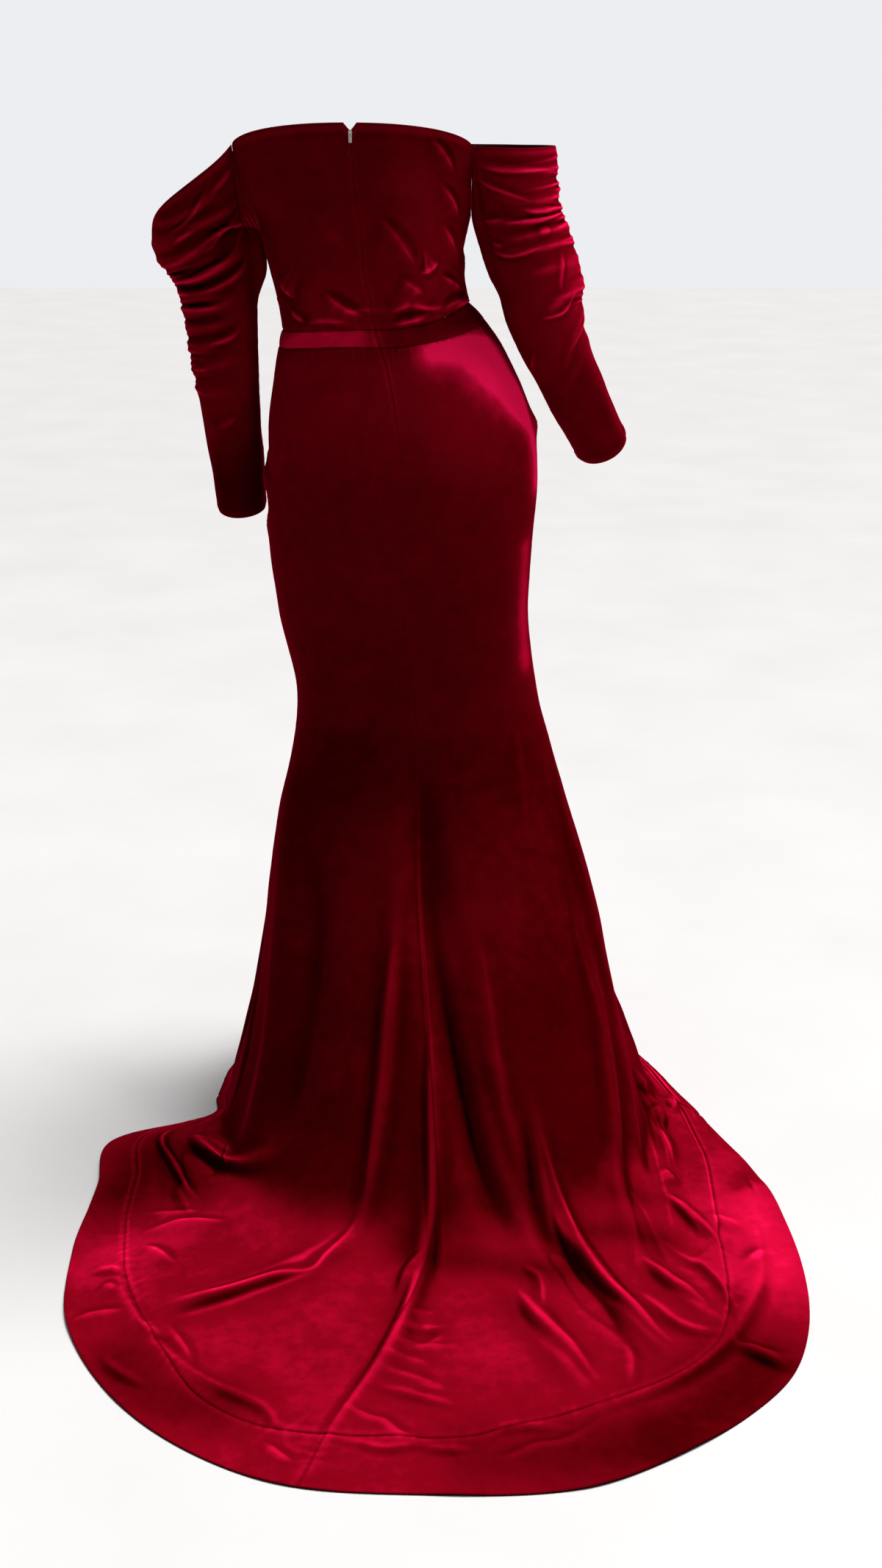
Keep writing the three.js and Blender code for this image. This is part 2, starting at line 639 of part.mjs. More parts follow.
function toGeometry(solid) {
  const { vertProperties, triVerts } = solid.getMesh();
  const geometry = new THREE.BufferGeometry();
  geometry.setAttribute('position', new THREE.BufferAttribute(vertProperties, 3));
  geometry.setIndex(new THREE.BufferAttribute(triVerts, 1));
  geometry.computeVertexNormals();
  return geometry;
}

// The plate seen from the back, wide at the top, its rear face on y = 0.
function sliderPlate() {
  const half = SLIDER.height / 2;
  const shape = new THREE.Shape();
  shape.moveTo(-SLIDER.foot / 2, -half);
  shape.lineTo(SLIDER.foot / 2, -half);
  shape.lineTo(SLIDER.top / 2, half / 4);
  shape.quadraticCurveTo(SLIDER.top / 2, half, SLIDER.top / 6, half);
  shape.lineTo(-SLIDER.top / 6, half);
  shape.quadraticCurveTo(-SLIDER.top / 2, half, -SLIDER.top / 2, half / 4);
  shape.closePath();
  return extruded(shape, SLIDER.thickness)
    .applyMatrix4(FACING_BACK)
    .translate(0, SLIDER.thickness, 0);
}

// The bridge seen from the side: an arch whose tunnel lets the pull's bar turn.
function sliderBridge() {
  const rooted = SLIDER.thickness / 2;
  const tunnelTop = SLIDER.thickness + BRIDGE.tunnelDepth;
  const top = tunnelTop + BRIDGE.bar;
  const inner = BRIDGE.tunnelHeight / 2;
  const outer = inner + BRIDGE.foot;
  const arch = polygon([
    [rooted, -outer], [tunnelTop, -outer], [top, -inner], [top, inner], [tunnelTop, outer], [rooted, outer],
    [rooted, inner], [tunnelTop, inner], [tunnelTop, -inner], [rooted, -inner],
  ]);
  return extruded(arch, BRIDGE.width)
    .applyMatrix4(SIDE_VIEW)
    .translate(-BRIDGE.width / 2, 0, 0);
}

// The pull seen from the back: its bar on the hinge axis, a window under it, then the tab.
function pullTab() {
  const half = PULL.width / 2;
  const top = PULL.bar / 2;
  const bottom = top - PULL.length;
  const shape = new THREE.Shape();
  shape.moveTo(-half, top);
  shape.lineTo(-half, bottom + half / 2);
  shape.quadraticCurveTo(-half, bottom, 0, bottom);
  shape.quadraticCurveTo(half, bottom, half, bottom + half / 2);
  shape.lineTo(half, top);
  shape.closePath();
  const side = PULL.windowWidth / 2;
  const sill = -top - PULL.windowLength;
  shape.holes.push(polygon([[-side, -top], [side, -top], [side, sill], [-side, sill]]));
  return extruded(shape, PULL.thickness)
    .applyMatrix4(FACING_BACK)
    .translate(0, PULL.thickness / 2, 0);
}

function metalMesh(name, geometry, place) {
  const material = new THREE.MeshStandardMaterial({ color: ZIP_METAL, roughness: 0.35, metalness: 0.8 });
  const mesh = new THREE.Mesh(geometry, material);
  mesh.name = name;
  mesh.position.copy(place);
  return mesh;
}

// ---- the gown -----------------------------------------------------------

const ARMHOLE_STEPS = 3;
const SLEEVE_OUTER_STEPS = 6;
const ARMHOLE_DEGREES = degrees(ARMHOLE_HALF);
const SHOULDER_DEGREES = degrees(SHOULDER_CORNER);

const NOTCH_DEGREES = degrees(ZIP_NOTCH_HALF);
const leftBackColumns = [
  ...angles(0, ARMHOLE_DEGREES, ARMHOLE_STEPS),
  ...angles(ARMHOLE_DEGREES, 90 - NOTCH_DEGREES, 7).slice(1),
  BACK_MIDDLE,
];
const rightBackColumns = [
  BACK_MIDDLE,
  ...angles(90 + NOTCH_DEGREES, 180 - ARMHOLE_DEGREES, 7),
  ...angles(180 - ARMHOLE_DEGREES, 180, ARMHOLE_STEPS).slice(1),
];
const frontColumns = [
  ...angles(180, 180 + ARMHOLE_DEGREES, ARMHOLE_STEPS),
  ...angles(180 + ARMHOLE_DEGREES, 360 - ARMHOLE_DEGREES, 16).slice(1),
  ...angles(360 - ARMHOLE_DEGREES, 360, ARMHOLE_STEPS).slice(1),
];
const bodiceRows = spaced(0, 1, 9);
const skirtRows = [...spaced(0, 7, 7), ...spaced(7, HEM_SEAM, 16).slice(1)];
const hemRows = spaced(HEM_SEAM, HEM, 2);
const bandRows = spaced(BAND_INSET, 1 - BAND_INSET, 2);
const sleeveRows = [...spaced(0, 0.6, 24), ...spaced(0.6, 1, 5).slice(1)];

const skirtFrontColumns = [...angles(180, 330, 20), ...angles(330, 360, 7).slice(1)];

const PANELS = table('place skirtColumns bodiceColumns shade',
  ['back_left', angles(0, 90, 26), leftBackColumns, VELVET],
  ['back_right', angles(90, 180, 26), rightBackColumns, VELVET],
  ['front', skirtFrontColumns, frontColumns, VELVET_DEEP],
);

const gown = new THREE.Group();
gown.position.z = -WAIST;

for (const panel of PANELS) {
  gown.add(clothWall(`bodice_${panel.place}`, bodice, 1, panel.bodiceColumns, bodiceRows, panel.shade));
  gown.add(clothWall(`waistband_${panel.place}`, waistband, 1, panel.skirtColumns, bandRows, VELVET_LIT));
  gown.add(clothWall(`skirt_${panel.place}`, skirt, 1, panel.skirtColumns, skirtRows, panel.shade));
  gown.add(clothWall(`hem_band_${panel.place}`, skirt, 1, panel.skirtColumns, hemRows, VELVET_LIT));
}

for (const name of Object.keys(SLEEVES)) {
  const { side } = SLEEVES[name];
  const surface = sleeveSurface(name);
  const outer = angles(0, SHOULDER_DEGREES, SLEEVE_OUTER_STEPS);
  const sewn = angles(SHOULDER_DEGREES, 180, ARMHOLE_STEPS).slice(1);
  const backColumns = [...outer, ...sewn];
  const halfFrontColumns = backColumns.map((angle) => -angle).reverse();
  gown.add(clothWall(`sleeve_${name}_back`, surface, side, backColumns, sleeveRows, VELVET));
  gown.add(clothWall(`sleeve_${name}_front`, surface, side, halfFrontColumns, sleeveRows, VELVET_DEEP));
}

const slider = toGeometry(toSolid(sliderPlate()).add(toSolid(sliderBridge())));
gown.add(metalMesh('zip_slider', slider, SLIDER_BACK));
gown.add(metalMesh('zip_pull', pullTab(), HINGE));

export default gown;
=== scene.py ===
import math

import bpy
import numpy as np
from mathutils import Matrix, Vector


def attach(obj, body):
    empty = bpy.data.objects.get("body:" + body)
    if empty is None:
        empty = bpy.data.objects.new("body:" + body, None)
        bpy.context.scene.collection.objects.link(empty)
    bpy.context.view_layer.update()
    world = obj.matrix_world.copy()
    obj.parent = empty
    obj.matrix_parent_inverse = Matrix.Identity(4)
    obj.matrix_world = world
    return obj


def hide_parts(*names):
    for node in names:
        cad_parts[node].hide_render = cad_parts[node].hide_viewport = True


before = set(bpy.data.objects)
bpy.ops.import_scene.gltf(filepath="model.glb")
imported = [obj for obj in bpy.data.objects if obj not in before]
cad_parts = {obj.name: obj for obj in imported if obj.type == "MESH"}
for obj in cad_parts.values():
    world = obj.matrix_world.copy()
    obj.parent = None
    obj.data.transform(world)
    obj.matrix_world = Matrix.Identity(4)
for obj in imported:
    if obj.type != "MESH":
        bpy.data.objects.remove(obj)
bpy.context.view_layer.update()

# The looks of a velvet mermaid gown. The surfaces are worked out in millimetres, with heights
# above the floor, and become metres in the frame's axes when a mesh is made. +Y is the gown's
# back and +X the wearer's left. Angles run from the wearer's left round the back.

MM = 0.001
WAIST = 1134            # height of the origin above the floor
CLOTH = 2.4             # least height of the cloth's outer face above the floor
SHELL = 1.7             # thickness of the cloth as it shows at an edge
SEAM_GAP = 0.05         # the cloth is sewn, so its pieces all but touch
BAND_HEIGHT = 24        # of the waistband
BAND_PROUD = 1.2        # how far the waistband's middle stands out
BAND_INSET = 0.003      # share of the waistband's height left free along each edge
SEED = 11

# ---- camera ----

PHOTO_HEIGHT = 2133
FOCAL_PIXELS = 2599
SENSOR = 36
CAMERA_PLACE = (-0.081, 2.700, 0.316)
CAMERA_DOWN = 20.2      # degrees below level


def add_camera():
    data = bpy.data.cameras.new("camera")
    data.sensor_width = SENSOR
    data.lens = FOCAL_PIXELS / PHOTO_HEIGHT * SENSOR
    camera = bpy.data.objects.new("camera", data)
    camera.location = CAMERA_PLACE
    camera.rotation_euler = (math.radians(90 - CAMERA_DOWN), 0, math.pi)
    bpy.context.scene.collection.objects.link(camera)
    bpy.context.scene.camera = camera


add_camera()

# ---- tables and curves ----


def hermite(u, low, high, slope_low, slope_high):
    """A smooth curve from low to high, for u from 0 to 1."""
    return ((2 * u**3 - 3 * u**2 + 1) * low + (u**3 - 2 * u**2 + u) * slope_low
            + (3 * u**2 - 2 * u**3) * high + (u**3 - u**2) * slope_high)


class Table:
    """Rows of numbers, the first column the key, read at any key on a smooth curve."""

    def __init__(self, *rows):
        self.rows = np.array(rows, float)
        self.keys = self.rows[:, 0]
        last = len(rows) - 1
        here = np.arange(last + 1)
        low, high = np.maximum(here - 1, 0), np.minimum(here + 1, last)
        span = self.keys[high] - self.keys[low]
        self.slopes = (self.rows[high] - self.rows[low]) / span[:, None]

    def at(self, key):
        here = np.clip(key, self.keys[0], self.keys[-1])
        i = np.clip(np.searchsorted(self.keys, here, side="right") - 1, 0, len(self.keys) - 2)
        span = (self.keys[i + 1] - self.keys[i])[..., None]
        u = (here - self.keys[i])[..., None] / span
        slope_low, slope_high = span * self.slopes[i], span * self.slopes[i + 1]
        value = hermite(u, self.rows[i], self.rows[i + 1], slope_low, slope_high)
        return np.moveaxis(value[..., 1:], -1, 0)


def smooth(u):
    u = np.clip(u, 0, 1)
    return u * u * (3 - 2 * u)


def rounded(value, exponent):
    return np.sign(value) * np.abs(value) ** exponent


def bell(u):
    """1 where u is 0, and as good as nothing from 3 on."""
    return np.exp(-np.minimum(u * u, 40))


def wrap(angle):
    """The same angle between minus and plus half a turn."""
    return np.mod(angle + math.pi, 2 * math.pi) - math.pi


def table_angle(phi):
    """The same angle in degrees, from -90 to 270, as the skirt's tables have it."""
    return np.mod(np.degrees(phi) + 90, 360) - 90


def lerp(a, b, share):
    return a + (b - a) * share


def around(phi, left, back, right, front):
    """A value that is given on four sides, blended between them."""
    side = np.where(np.cos(phi) >= 0, left, right)
    end = np.where(np.sin(phi) >= 0, back, front)
    share = np.where(np.sin(phi) >= 0, np.sin(phi) ** 2, np.sin(phi) ** 4)
    return lerp(side, end, share)


def unit(vectors):
    return vectors / np.maximum(np.linalg.norm(vectors, axis=-1, keepdims=True), 1e-9)


# ---- skirt ----

# level, cx, cy, half width, back, front, roundness behind and in front, heights l b r f
SKIRT = np.array([
    (0, 1, -6, 143, 84, -96, 2.2, 2.2, 1103, 1113, 1140, 1130),
    (1, -10, -2, 161, 100, -100, 2.2, 2.2, 1068, 1078, 1096, 1088),
    (2, -22, 4, 184, 124, -102, 2.2, 2.2, 1000, 1008, 1016, 1008),
    (3, -28, 6, 191, 134, -100, 2.2, 2.2, 925, 928, 932, 928),
    (4, -25, 6, 189, 126, -100, 2.2, 2.2, 830, 830, 830, 830),
    (5, -28, 6, 181, 114, -98, 2.2, 2.2, 735, 735, 735, 735),
    (6, -44, 6, 175, 108, -95, 2.1, 2.1, 615, 610, 615, 615),
    (7, -49, 16, 188, 138, -106, 2.1, 2.1, 520, 510, 520, 520),
    (8, -50, 34, 211, 200, -128, 2.1, 2.0, 425, 400, 425, 430),
    (9, -57, 58, 233, 280, -152, 2.1, 2.0, 320, 290, 320, 350),
    (10, -66, 82, 256, 370, -178, 2.1, 1.9, 205, 180, 205, 280),
    (11, -74, 105, 284, 460, -200, 2.1, 1.9, 105, 85, 105, 225),
    (12, -77, 130, 313, 545, -222, 2.2, 1.7, 30, 18, 30, 180),
], float)
FLOOR_LEVEL = 12
HEM_SEAM = 15
HEM = 16
# level, heights l b r f, reach to the hemline, and in front
RUN_OUT = np.array([
    (13, 9, 6, 9, 150, 0.226, 0.17),
    (14, 6, 6, 6, 128, 0.495, 0.3),
    (15, 6, 6, 6, 112, 0.757, 0.4),
    (16, 2.4, 2.4, 2.4, 8, 1, 1),
], float)
# angle, x, y of the hem's edge
HEMLINE = Table(
    (-105, -165, -262), (-90, -77, -280), (-75, 11, -262), (-60, 88, -208), (-45, 160, -130), (-30, 214, -42),
    (-15, 247, 52), (-6, 254, 102), (1, 258, 146), (8, 264, 200), (16, 398, 268),
    (24, 398, 390), (34, 406, 540), (48, 380, 716), (63, 273, 882), (76, 115, 987),
    (90, -77, 1010), (102, -234, 1001), (110, -332, 957), (119, -434, 882), (128, -507, 795),
    (139, -545, 671), (150, -551, 525), (163, -532, 380), (175, -488, 250), (187, -440, 130),
    (200, -405, 28), (215, -350, -76), (232, -275, -165), (240, -232, -212), (255, -165, -262),
    (270, -77, -280), (285, 11, -262),
)
BACK_SEAM = Table((11.5, 0), (13, -3.4), (14, -7), (15, -9.8), (16, -11.2))
BAND_SEAM = Table(
    (0, 15), (42, 14.85), (62, 14.95), (77, 15.3), (90, 15.25), (100, 15.2), (112, 14.93),
    (126, 15.02), (137, 14.58), (147, 14.2), (160, 14.1), (175, 14.35), (192, 14.75), (215, 15),
)
# The large folds: three places by angle and level, width, depth
SKIRT_FOLDS = (
    (46.5, 7.2, 46, 9.9, 37, 11.8, 34, -16),
    (23, 7.4, 29, 9.6, 26, 12.4, 28, 10),
    (84, 7.8, 77, 10, 71, 12.4, 15, 9),
    (91, 9.2, 88.5, 11.6, 82, 15, 16, 9),
    (89.5, 6, 97, 9.2, 106.5, 12.6, 26, -24),
    (91.5, 7, 102, 10.1, 110, 12.4, 18, 10),
    (108, 9.5, 110, 10.4, 112, 11.4, 14, 4),
    (119.5, 10.3, 117, 12.6, 118, 15, 16, 12),
    (116, 10.4, 114.5, 11.7, 113, 13, 15, -7),
    (164, 7.8, 149, 10.9, 119, 13.8, 24, 9),
    (173, 5.4, 167, 9.5, 136, 13.7, 30, 14),
    (165, 10.9, 172, 12.1, 167, 13, 14, 6),
    (101, 12.5, 104, 13.6, 107, 14.9, 20, 8),
    (127, 13, 126, 14, 126, 15, 16, 7),
    (146, 12.8, 144, 13.6, 142, 14.4, 14, 6),
    (72, 11.8, 61, 13.5, 52, 14.9, 26, 12),
    (43, 11.3, 29, 12.3, 16, 13.5, 20, 9),
    (36, 13.2, 24, 13.8, 14, 14.5, 18, 5),
    (203, 6.6, 206, 10, 212, 13.6, 26, 12),
    (226, 7.2, 229, 10.5, 233, 14.2, 24, -12),
    (242, 6.6, 247, 10, 251, 14.6, 22, 11),
    (268, 7.4, 266, 11, 261, 14.9, 22, 9),
    (289, 6.8, 293, 10, 297, 14.6, 24, 12),
    (305, 7.6, 309, 11, 314, 14.4, 24, -12),
    (323, 6.8, 329, 10, 336, 13.6, 26, 11),
    (346, 7.4, 348, 10, 350, 12.6, 24, 9),
)
FOLD_RISE = 0.4         # share of a fold's length over which it starts
FOLD_FALL = 0.3         # and over which it ends
STEP = 0.01             # how far to each side a surface is read for its slope


def skirt_ring(phi, level):
    shape = np.moveaxis(SKIRT[np.minimum(level, FLOOR_LEVEL)], -1, 0)
    _, cx, cy, w, back, front, nb, nf = shape[:8]
    out = np.moveaxis(RUN_OUT[np.clip(level - FLOOR_LEVEL - 1, 0, 3)], -1, 0)
    outside = level > FLOOR_LEVEL
    heights = [np.where(outside, out[1 + k], shape[8 + k]) for k in range(4)]
    behind = np.sin(phi) >= 0
    exponent = 2 / np.where(behind, nb, nf)
    depth = np.where(behind, back - cy, cy - front)
    x = cx + w * rounded(np.cos(phi), exponent)
    y = cy + depth * rounded(np.sin(phi), exponent)
    hem_x, hem_y = HEMLINE.at(table_angle(phi))
    reach = np.where(outside, around(phi, out[5], out[5], out[5], out[6]), 0)
    return np.stack([lerp(x, hem_x, reach), lerp(y, hem_y, reach), around(phi, *heights)], -1)


def skirt_base(phi, level):
    first = np.clip(np.floor(level), 0, HEM - 1).astype(int)
    u = np.clip(level - first, 0, 1)[..., None]
    before, low, high, after = [skirt_ring(phi, np.clip(first + k, 0, HEM)) for k in (-1, 0, 1, 2)]
    slope_low = (high - before) * np.where(first > 0, 0.5, 1)[..., None]
    slope_high = (after - low) * np.where(first < HEM - 1, 0.5, 1)[..., None]
    point = hermite(u, low, high, slope_low, slope_high)
    point[..., 2] = np.maximum(point[..., 2], CLOTH)
    return point


def on_cut(phi, v):
    """The place on the skirt of a line and a row that follow the pieces' cut edges."""
    seam = BAND_SEAM.at(table_angle(phi))[0]
    above = (v - FLOOR_LEVEL) / (HEM_SEAM - FLOOR_LEVEL)
    share = np.where(v > HEM_SEAM, (HEM - v) / (HEM - HEM_SEAM), above)
    level = v + (seam - HEM_SEAM) * np.clip(share, 0, 1)
    near = np.maximum(0, np.minimum(phi, math.pi - phi) / (math.pi / 2))
    return phi + np.radians(BACK_SEAM.at(level)[0] * near), level


def parabola(places, at):
    """The value at a key, on the parabola through three pairs of value and key."""
    a0, l0, a1, l1, a2, l2 = places
    return (a0 * (at - l1) * (at - l2) / ((l0 - l1) * (l0 - l2))
            + a1 * (at - l0) * (at - l2) / ((l1 - l0) * (l1 - l2))
            + a2 * (at - l0) * (at - l1) / ((l2 - l0) * (l2 - l1)))


def skirt_relief(phi, level):
    """How far the large folds lift the skirt's surface, in mm."""
    chord = np.linalg.norm(skirt_base(phi + STEP, level) - skirt_base(phi - STEP, level), axis=-1)
    per_radian = chord / (2 * STEP)
    relief = np.zeros(np.shape(phi))
    for *places, width, depth in SKIRT_FOLDS:
        start, end = places[1], places[5]
        rise, fall = FOLD_RISE * (end - start), FOLD_FALL * (end - start)
        strength = smooth((level - start) / rise) * smooth((end - level) / fall)
        away = wrap(phi - np.radians(parabola(places, level))) * per_radian
        inside = (level > start) & (level < end)
        relief += np.where(inside, depth * strength * bell(away / width), 0)
    return relief


def normal_of(surface, turn, u, v):
    """The surface's outward direction. turn is -1 where its angles run the other way round."""
    across = surface(u + STEP, v) - surface(u - STEP, v)
    down = surface(u, v + STEP) - surface(u, v - STEP)
    return unit(np.cross(down, across) * turn)


def skirt_place(phi, level):
    normal = normal_of(skirt_base, 1, phi, level)
    point = skirt_base(phi, level) + normal * skirt_relief(phi, level)[..., None]
    point[..., 2] = np.maximum(point[..., 2], CLOTH)
    return point


def skirt(phi, v):
    """The skirt's surface, by a line and a row that follow the pieces' cut edges."""
    return skirt_place(*on_cut(phi, v))


# ---- bodice and waistband ----

BODICE_ROUNDNESS = 2.2
# height, cx, cy, half width, back, front
BODICE = Table(
    (1120, 4, -6, 134, 82, -94), (1145, 9, -6, 132, 83, -94), (1175, 14, -4, 131, 87, -99),
    (1214, 22, 0, 133, 93, -113), (1270, 25, 0, 145, 98, -131), (1310, 32, 0, 163, 97, -127),
    (1370, 36, 0, 181, 92, -114), (1410, 37, 0, 185, 89, -108),
)
ARMHOLE_HALF = math.radians(30)     # from an armhole's middle to its corner
ARMHOLE_POWER = 2.5
ARMHOLES = {"left": (1, 1235, 1370), "right": (-1, 1279, 1368)}   # side, bottom, corner
BACK_RISE = 31          # height of the back's top edge above the armholes' corners
BACK_ARCH = 0.6
FRONT_DROP = 34
BAND_HEIGHTS = (1115, 1125, 1152, 1142)     # of the waistband's middle line: left, back, right, front
ZIP_NOTCH = 10          # depth of the V above the zip
ZIP_NOTCH_HALF = math.radians(2)


def torso(phi, z):
    cx, cy, w, back, front = BODICE.at(z)
    depth = np.where(np.sin(phi) >= 0, back - cy, cy - front)
    x = cx + w * rounded(np.cos(phi), 2 / BODICE_ROUNDNESS)
    y = cy + depth * rounded(np.sin(phi), 2 / BODICE_ROUNDNESS)
    return np.stack([x, y, z + 0 * x], -1)


def armhole_height(armhole, away):
    _, bottom, corner = armhole
    share = np.minimum(np.abs(away) / ARMHOLE_HALF, 1)
    return lerp(bottom, corner, share**ARMHOLE_POWER)


def bodice_top(phi):
    turned = wrap(phi)
    from_left = np.abs(turned)
    share = (from_left - ARMHOLE_HALF) / (math.pi - 2 * ARMHOLE_HALF)
    corners = lerp(ARMHOLES["left"][2], ARMHOLES["right"][2], np.clip(share, 0, 1))
    arch = np.sin(np.clip(share, 0, 1) * math.pi)
    notch = np.maximum(0, 1 - np.abs(turned - math.pi / 2) / ZIP_NOTCH_HALF)
    behind = corners + BACK_RISE * arch**BACK_ARCH - ZIP_NOTCH * notch
    top = np.where(turned < 0, corners - FRONT_DROP * arch, behind)
    top = np.where(from_left <= ARMHOLE_HALF, armhole_height(ARMHOLES["left"], from_left), top)
    from_right = math.pi - from_left
    return np.where(from_right <= ARMHOLE_HALF, armhole_height(ARMHOLES["right"], from_right), top)


def band_middle(phi):
    return around(phi, *BAND_HEIGHTS)


def bodice(phi, v):
    return torso(phi, lerp(bodice_top(phi), band_middle(phi) + BAND_HEIGHT / 2, v))


def waistband(phi, v):
    upper = torso(phi, band_middle(phi) + BAND_HEIGHT / 2)
    lower = skirt_base(phi, 0 * phi)
    outward = np.stack([np.cos(phi), np.sin(phi), 0 * phi], -1)
    proud = BAND_PROUD * np.sin(math.pi * np.clip(v, 0, 1))
    return lerp(upper, lower, v[..., None]) + outward * proud[..., None]


# ---- sleeves ----

SLEEVE_TOP = 1375       # height from which distances down the sleeve are counted
SHOULDER_CORNER = math.radians(140)     # angle round the sleeve where the armhole's seam starts
SEAM_EASE = 90          # distance over which the sleeve takes its own shape below the armhole
SEAM_CLEARANCE = 0.4
FRONT_SHIFT = 6         # how much lower the gathers are in front
SHIFT_ANGLE = 60
GATHER_RISE = 30        # angles over which a gather starts and ends
GATHER_FALL = 45
GATHER_START = 14       # distance from the sleeve's top edge over which the gathers start
SLEEVES = {
    "left": {
        "side": 1,
        "length": 521,
        # distance down, x, y, z, half width, half depth
        "rings": Table(
            (0, 243, 0, 1375, 70, 56), (113, 242, 2, 1262, 70, 57), (163, 228, 6, 1214, 60, 54),
            (203, 222, 10, 1175, 51, 50), (263, 219, 14, 1115, 47, 47), (325, 215, 8, 1054, 43, 43),
            (387, 213, -6, 993, 40, 40), (456, 210, -32, 931, 38, 38), (521, 208, -50, 868, 35, 35),
        ),
        "edge": Table((0, 1258), (35, 1284), (70, 1310), (105, 1340), (140, 1370)),
        # three places by angle and distance down, width, depth
        "gathers": (
            (20, 96, 83, 90, 140, 22, 9, 3.4), (0, 122, 89, 108, 150, 70, 9, 3.6),
            (0, 136, 73, 142, 148, 98, 8, 3.4), (0, 152, 100, 166, 155, 111, 8, 3.2),
            (0, 168, 56, 180, 155, 140, 7, 3.4), (0, 186, 81, 197, 158, 160, 8, 3.6),
            (0, 203, 60, 208, 120, 200, 7, 3.0), (0, 220, 76, 221, 130, 205, 9, 4.4),
            (0, 243, 60, 244, 120, 236, 7, 3.0), (0, 266, 65, 265, 140, 240, 8, 3.2),
            (0, 296, 71, 290, 130, 278, 9, 2.6), (0, 330, 60, 326, 120, 318, 10, 1.8),
            (30, 384, 64, 374, 130, 352, 12, 2.0),
        ),
    },
    "right": {
        "side": -1,
        "length": 490,
        "rings": Table(
            (0, -178, 0, 1375, 57, 55), (55, -180, 0, 1320, 57, 56), (103, -186, 3, 1272, 58, 56),
            (144, -199, 7, 1233, 60, 54), (186, -214, 10, 1194, 58, 52), (227, -222, 12, 1155, 54, 50),
            (269, -234, 10, 1115, 48, 47), (320, -253, -8, 1075, 44, 44), (376, -273, -36, 1034, 43, 42),
            (432, -294, -68, 993, 41, 40), (490, -316, -100, 952, 39, 38),
        ),
        "edge": Table((0, 1366), (35, 1366), (70, 1366), (105, 1367), (140, 1368)),
        "gathers": (
            (0, 36, 80, 36, 143, 24, 8, 2.6), (0, 64, 71, 81, 147, 41, 9, 2.8),
            (0, 94, 64, 96, 110, 84, 8, 3.0), (0, 116, 60, 110, 150, 92, 8, 3.0),
            (0, 134, 64, 130, 140, 119, 8, 3.0), (0, 152, 69, 147, 147, 126, 8, 3.2),
            (0, 176, 60, 176, 120, 168, 9, 2.4), (0, 200, 40, 205, 104, 236, 10, 3.6),
            (0, 240, 61, 274, 90, 300, 10, 2.6), (0, 290, 50, 300, 110, 330, 12, 1.6),
        ),
    },
}


def sleeve_ring(sleeve, psi, s):
    x, y, z, a, b = sleeve["rings"].at(s)
    above = sleeve["rings"].at(s - 1)[:3]
    below = sleeve["rings"].at(s + 1)[:3]
    tangent = unit(np.moveaxis(below - above, 0, -1))
    outward = np.zeros(tangent.shape)
    outward[..., 0] = sleeve["side"]
    outward = unit(outward - tangent * np.sum(outward * tangent, -1, keepdims=True))
    backward = unit(np.cross(outward, tangent))
    backward = backward * np.sign(backward[..., 1:2])
    middle = np.stack([x, y, z], -1)
    return middle + outward * (a * np.cos(psi))[..., None] + backward * (b * np.sin(psi))[..., None]


def armhole_point(armhole, away):
    phi = away if armhole[0] > 0 else math.pi - away
    z = armhole_height(armhole, away)
    across = torso(phi + STEP, z) - torso(phi - STEP, z)
    down = np.zeros(across.shape)
    down[..., 2] = -1
    return torso(phi, z) + unit(np.cross(down, across)) * SEAM_CLEARANCE


def sleeve_start(sleeve, armhole, psi):
    """Where the sleeve starts, and the pull from its own shape to the armhole's seam."""
    turned = wrap(psi)
    away = np.abs(turned)
    to_back = np.where(turned < 0, -1, 1)
    sewn = away > SHOULDER_CORNER
    on_seam = np.where(sewn, (math.pi - away) / (math.pi - SHOULDER_CORNER), 1)
    target = armhole_point(armhole, to_back * on_seam * ARMHOLE_HALF)
    free = sleeve["edge"].at(np.degrees(np.minimum(away, SHOULDER_CORNER)))[0]
    start = SLEEVE_TOP - np.where(sewn, target[..., 2], free)
    reach_angle = np.where(sewn, turned, to_back * SHOULDER_CORNER)
    reach_start = np.where(sewn, start, SLEEVE_TOP - armhole[2])
    pull = target - sleeve_ring(sleeve, reach_angle, reach_start)
    share = np.where(sewn, 1, (away / SHOULDER_CORNER) ** 2)
    return start, pull * share[..., None]


def gather_relief(sleeve, psi, s, start):
    turned = wrap(psi)
    away = np.abs(np.degrees(turned))
    lower = np.where(turned < 0, FRONT_SHIFT * smooth(away / SHIFT_ANGLE), 0)
    relief = np.zeros(np.shape(psi))
    for a0, s0, a1, s1, a2, s2, width, depth in sleeve["gathers"]:
        crest = parabola((s0, a0, s1, a1, s2, a2), away)
        rise = smooth((away - a0) / GATHER_RISE) if a0 > 0 else 1
        strength = rise * smooth((a2 - away) / GATHER_FALL)
        inside = (away >= a0) & (away <= a2)
        relief += np.where(inside, depth * strength * bell((s - lower - crest) / width), 0)
    return relief * smooth((s - start) / GATHER_START)


def sleeve_surface(name):
    """The sleeve's surface, by the angle round it and the share of its length."""
    sleeve, armhole = SLEEVES[name], ARMHOLES[name]

    def base(psi, s_share):
        start, pull = sleeve_start(sleeve, armhole, psi)
        s = lerp(start, sleeve["length"], s_share)
        ease = 1 - smooth((s - start) / SEAM_EASE)
        return sleeve_ring(sleeve, psi, s) + pull * ease[..., None]

    def surface(psi, v):
        start, _ = sleeve_start(sleeve, armhole, psi)
        relief = gather_relief(sleeve, psi, lerp(start, sleeve["length"], v), start)
        return base(psi, v) + normal_of(base, sleeve["side"], psi, v) * relief[..., None]

    return surface


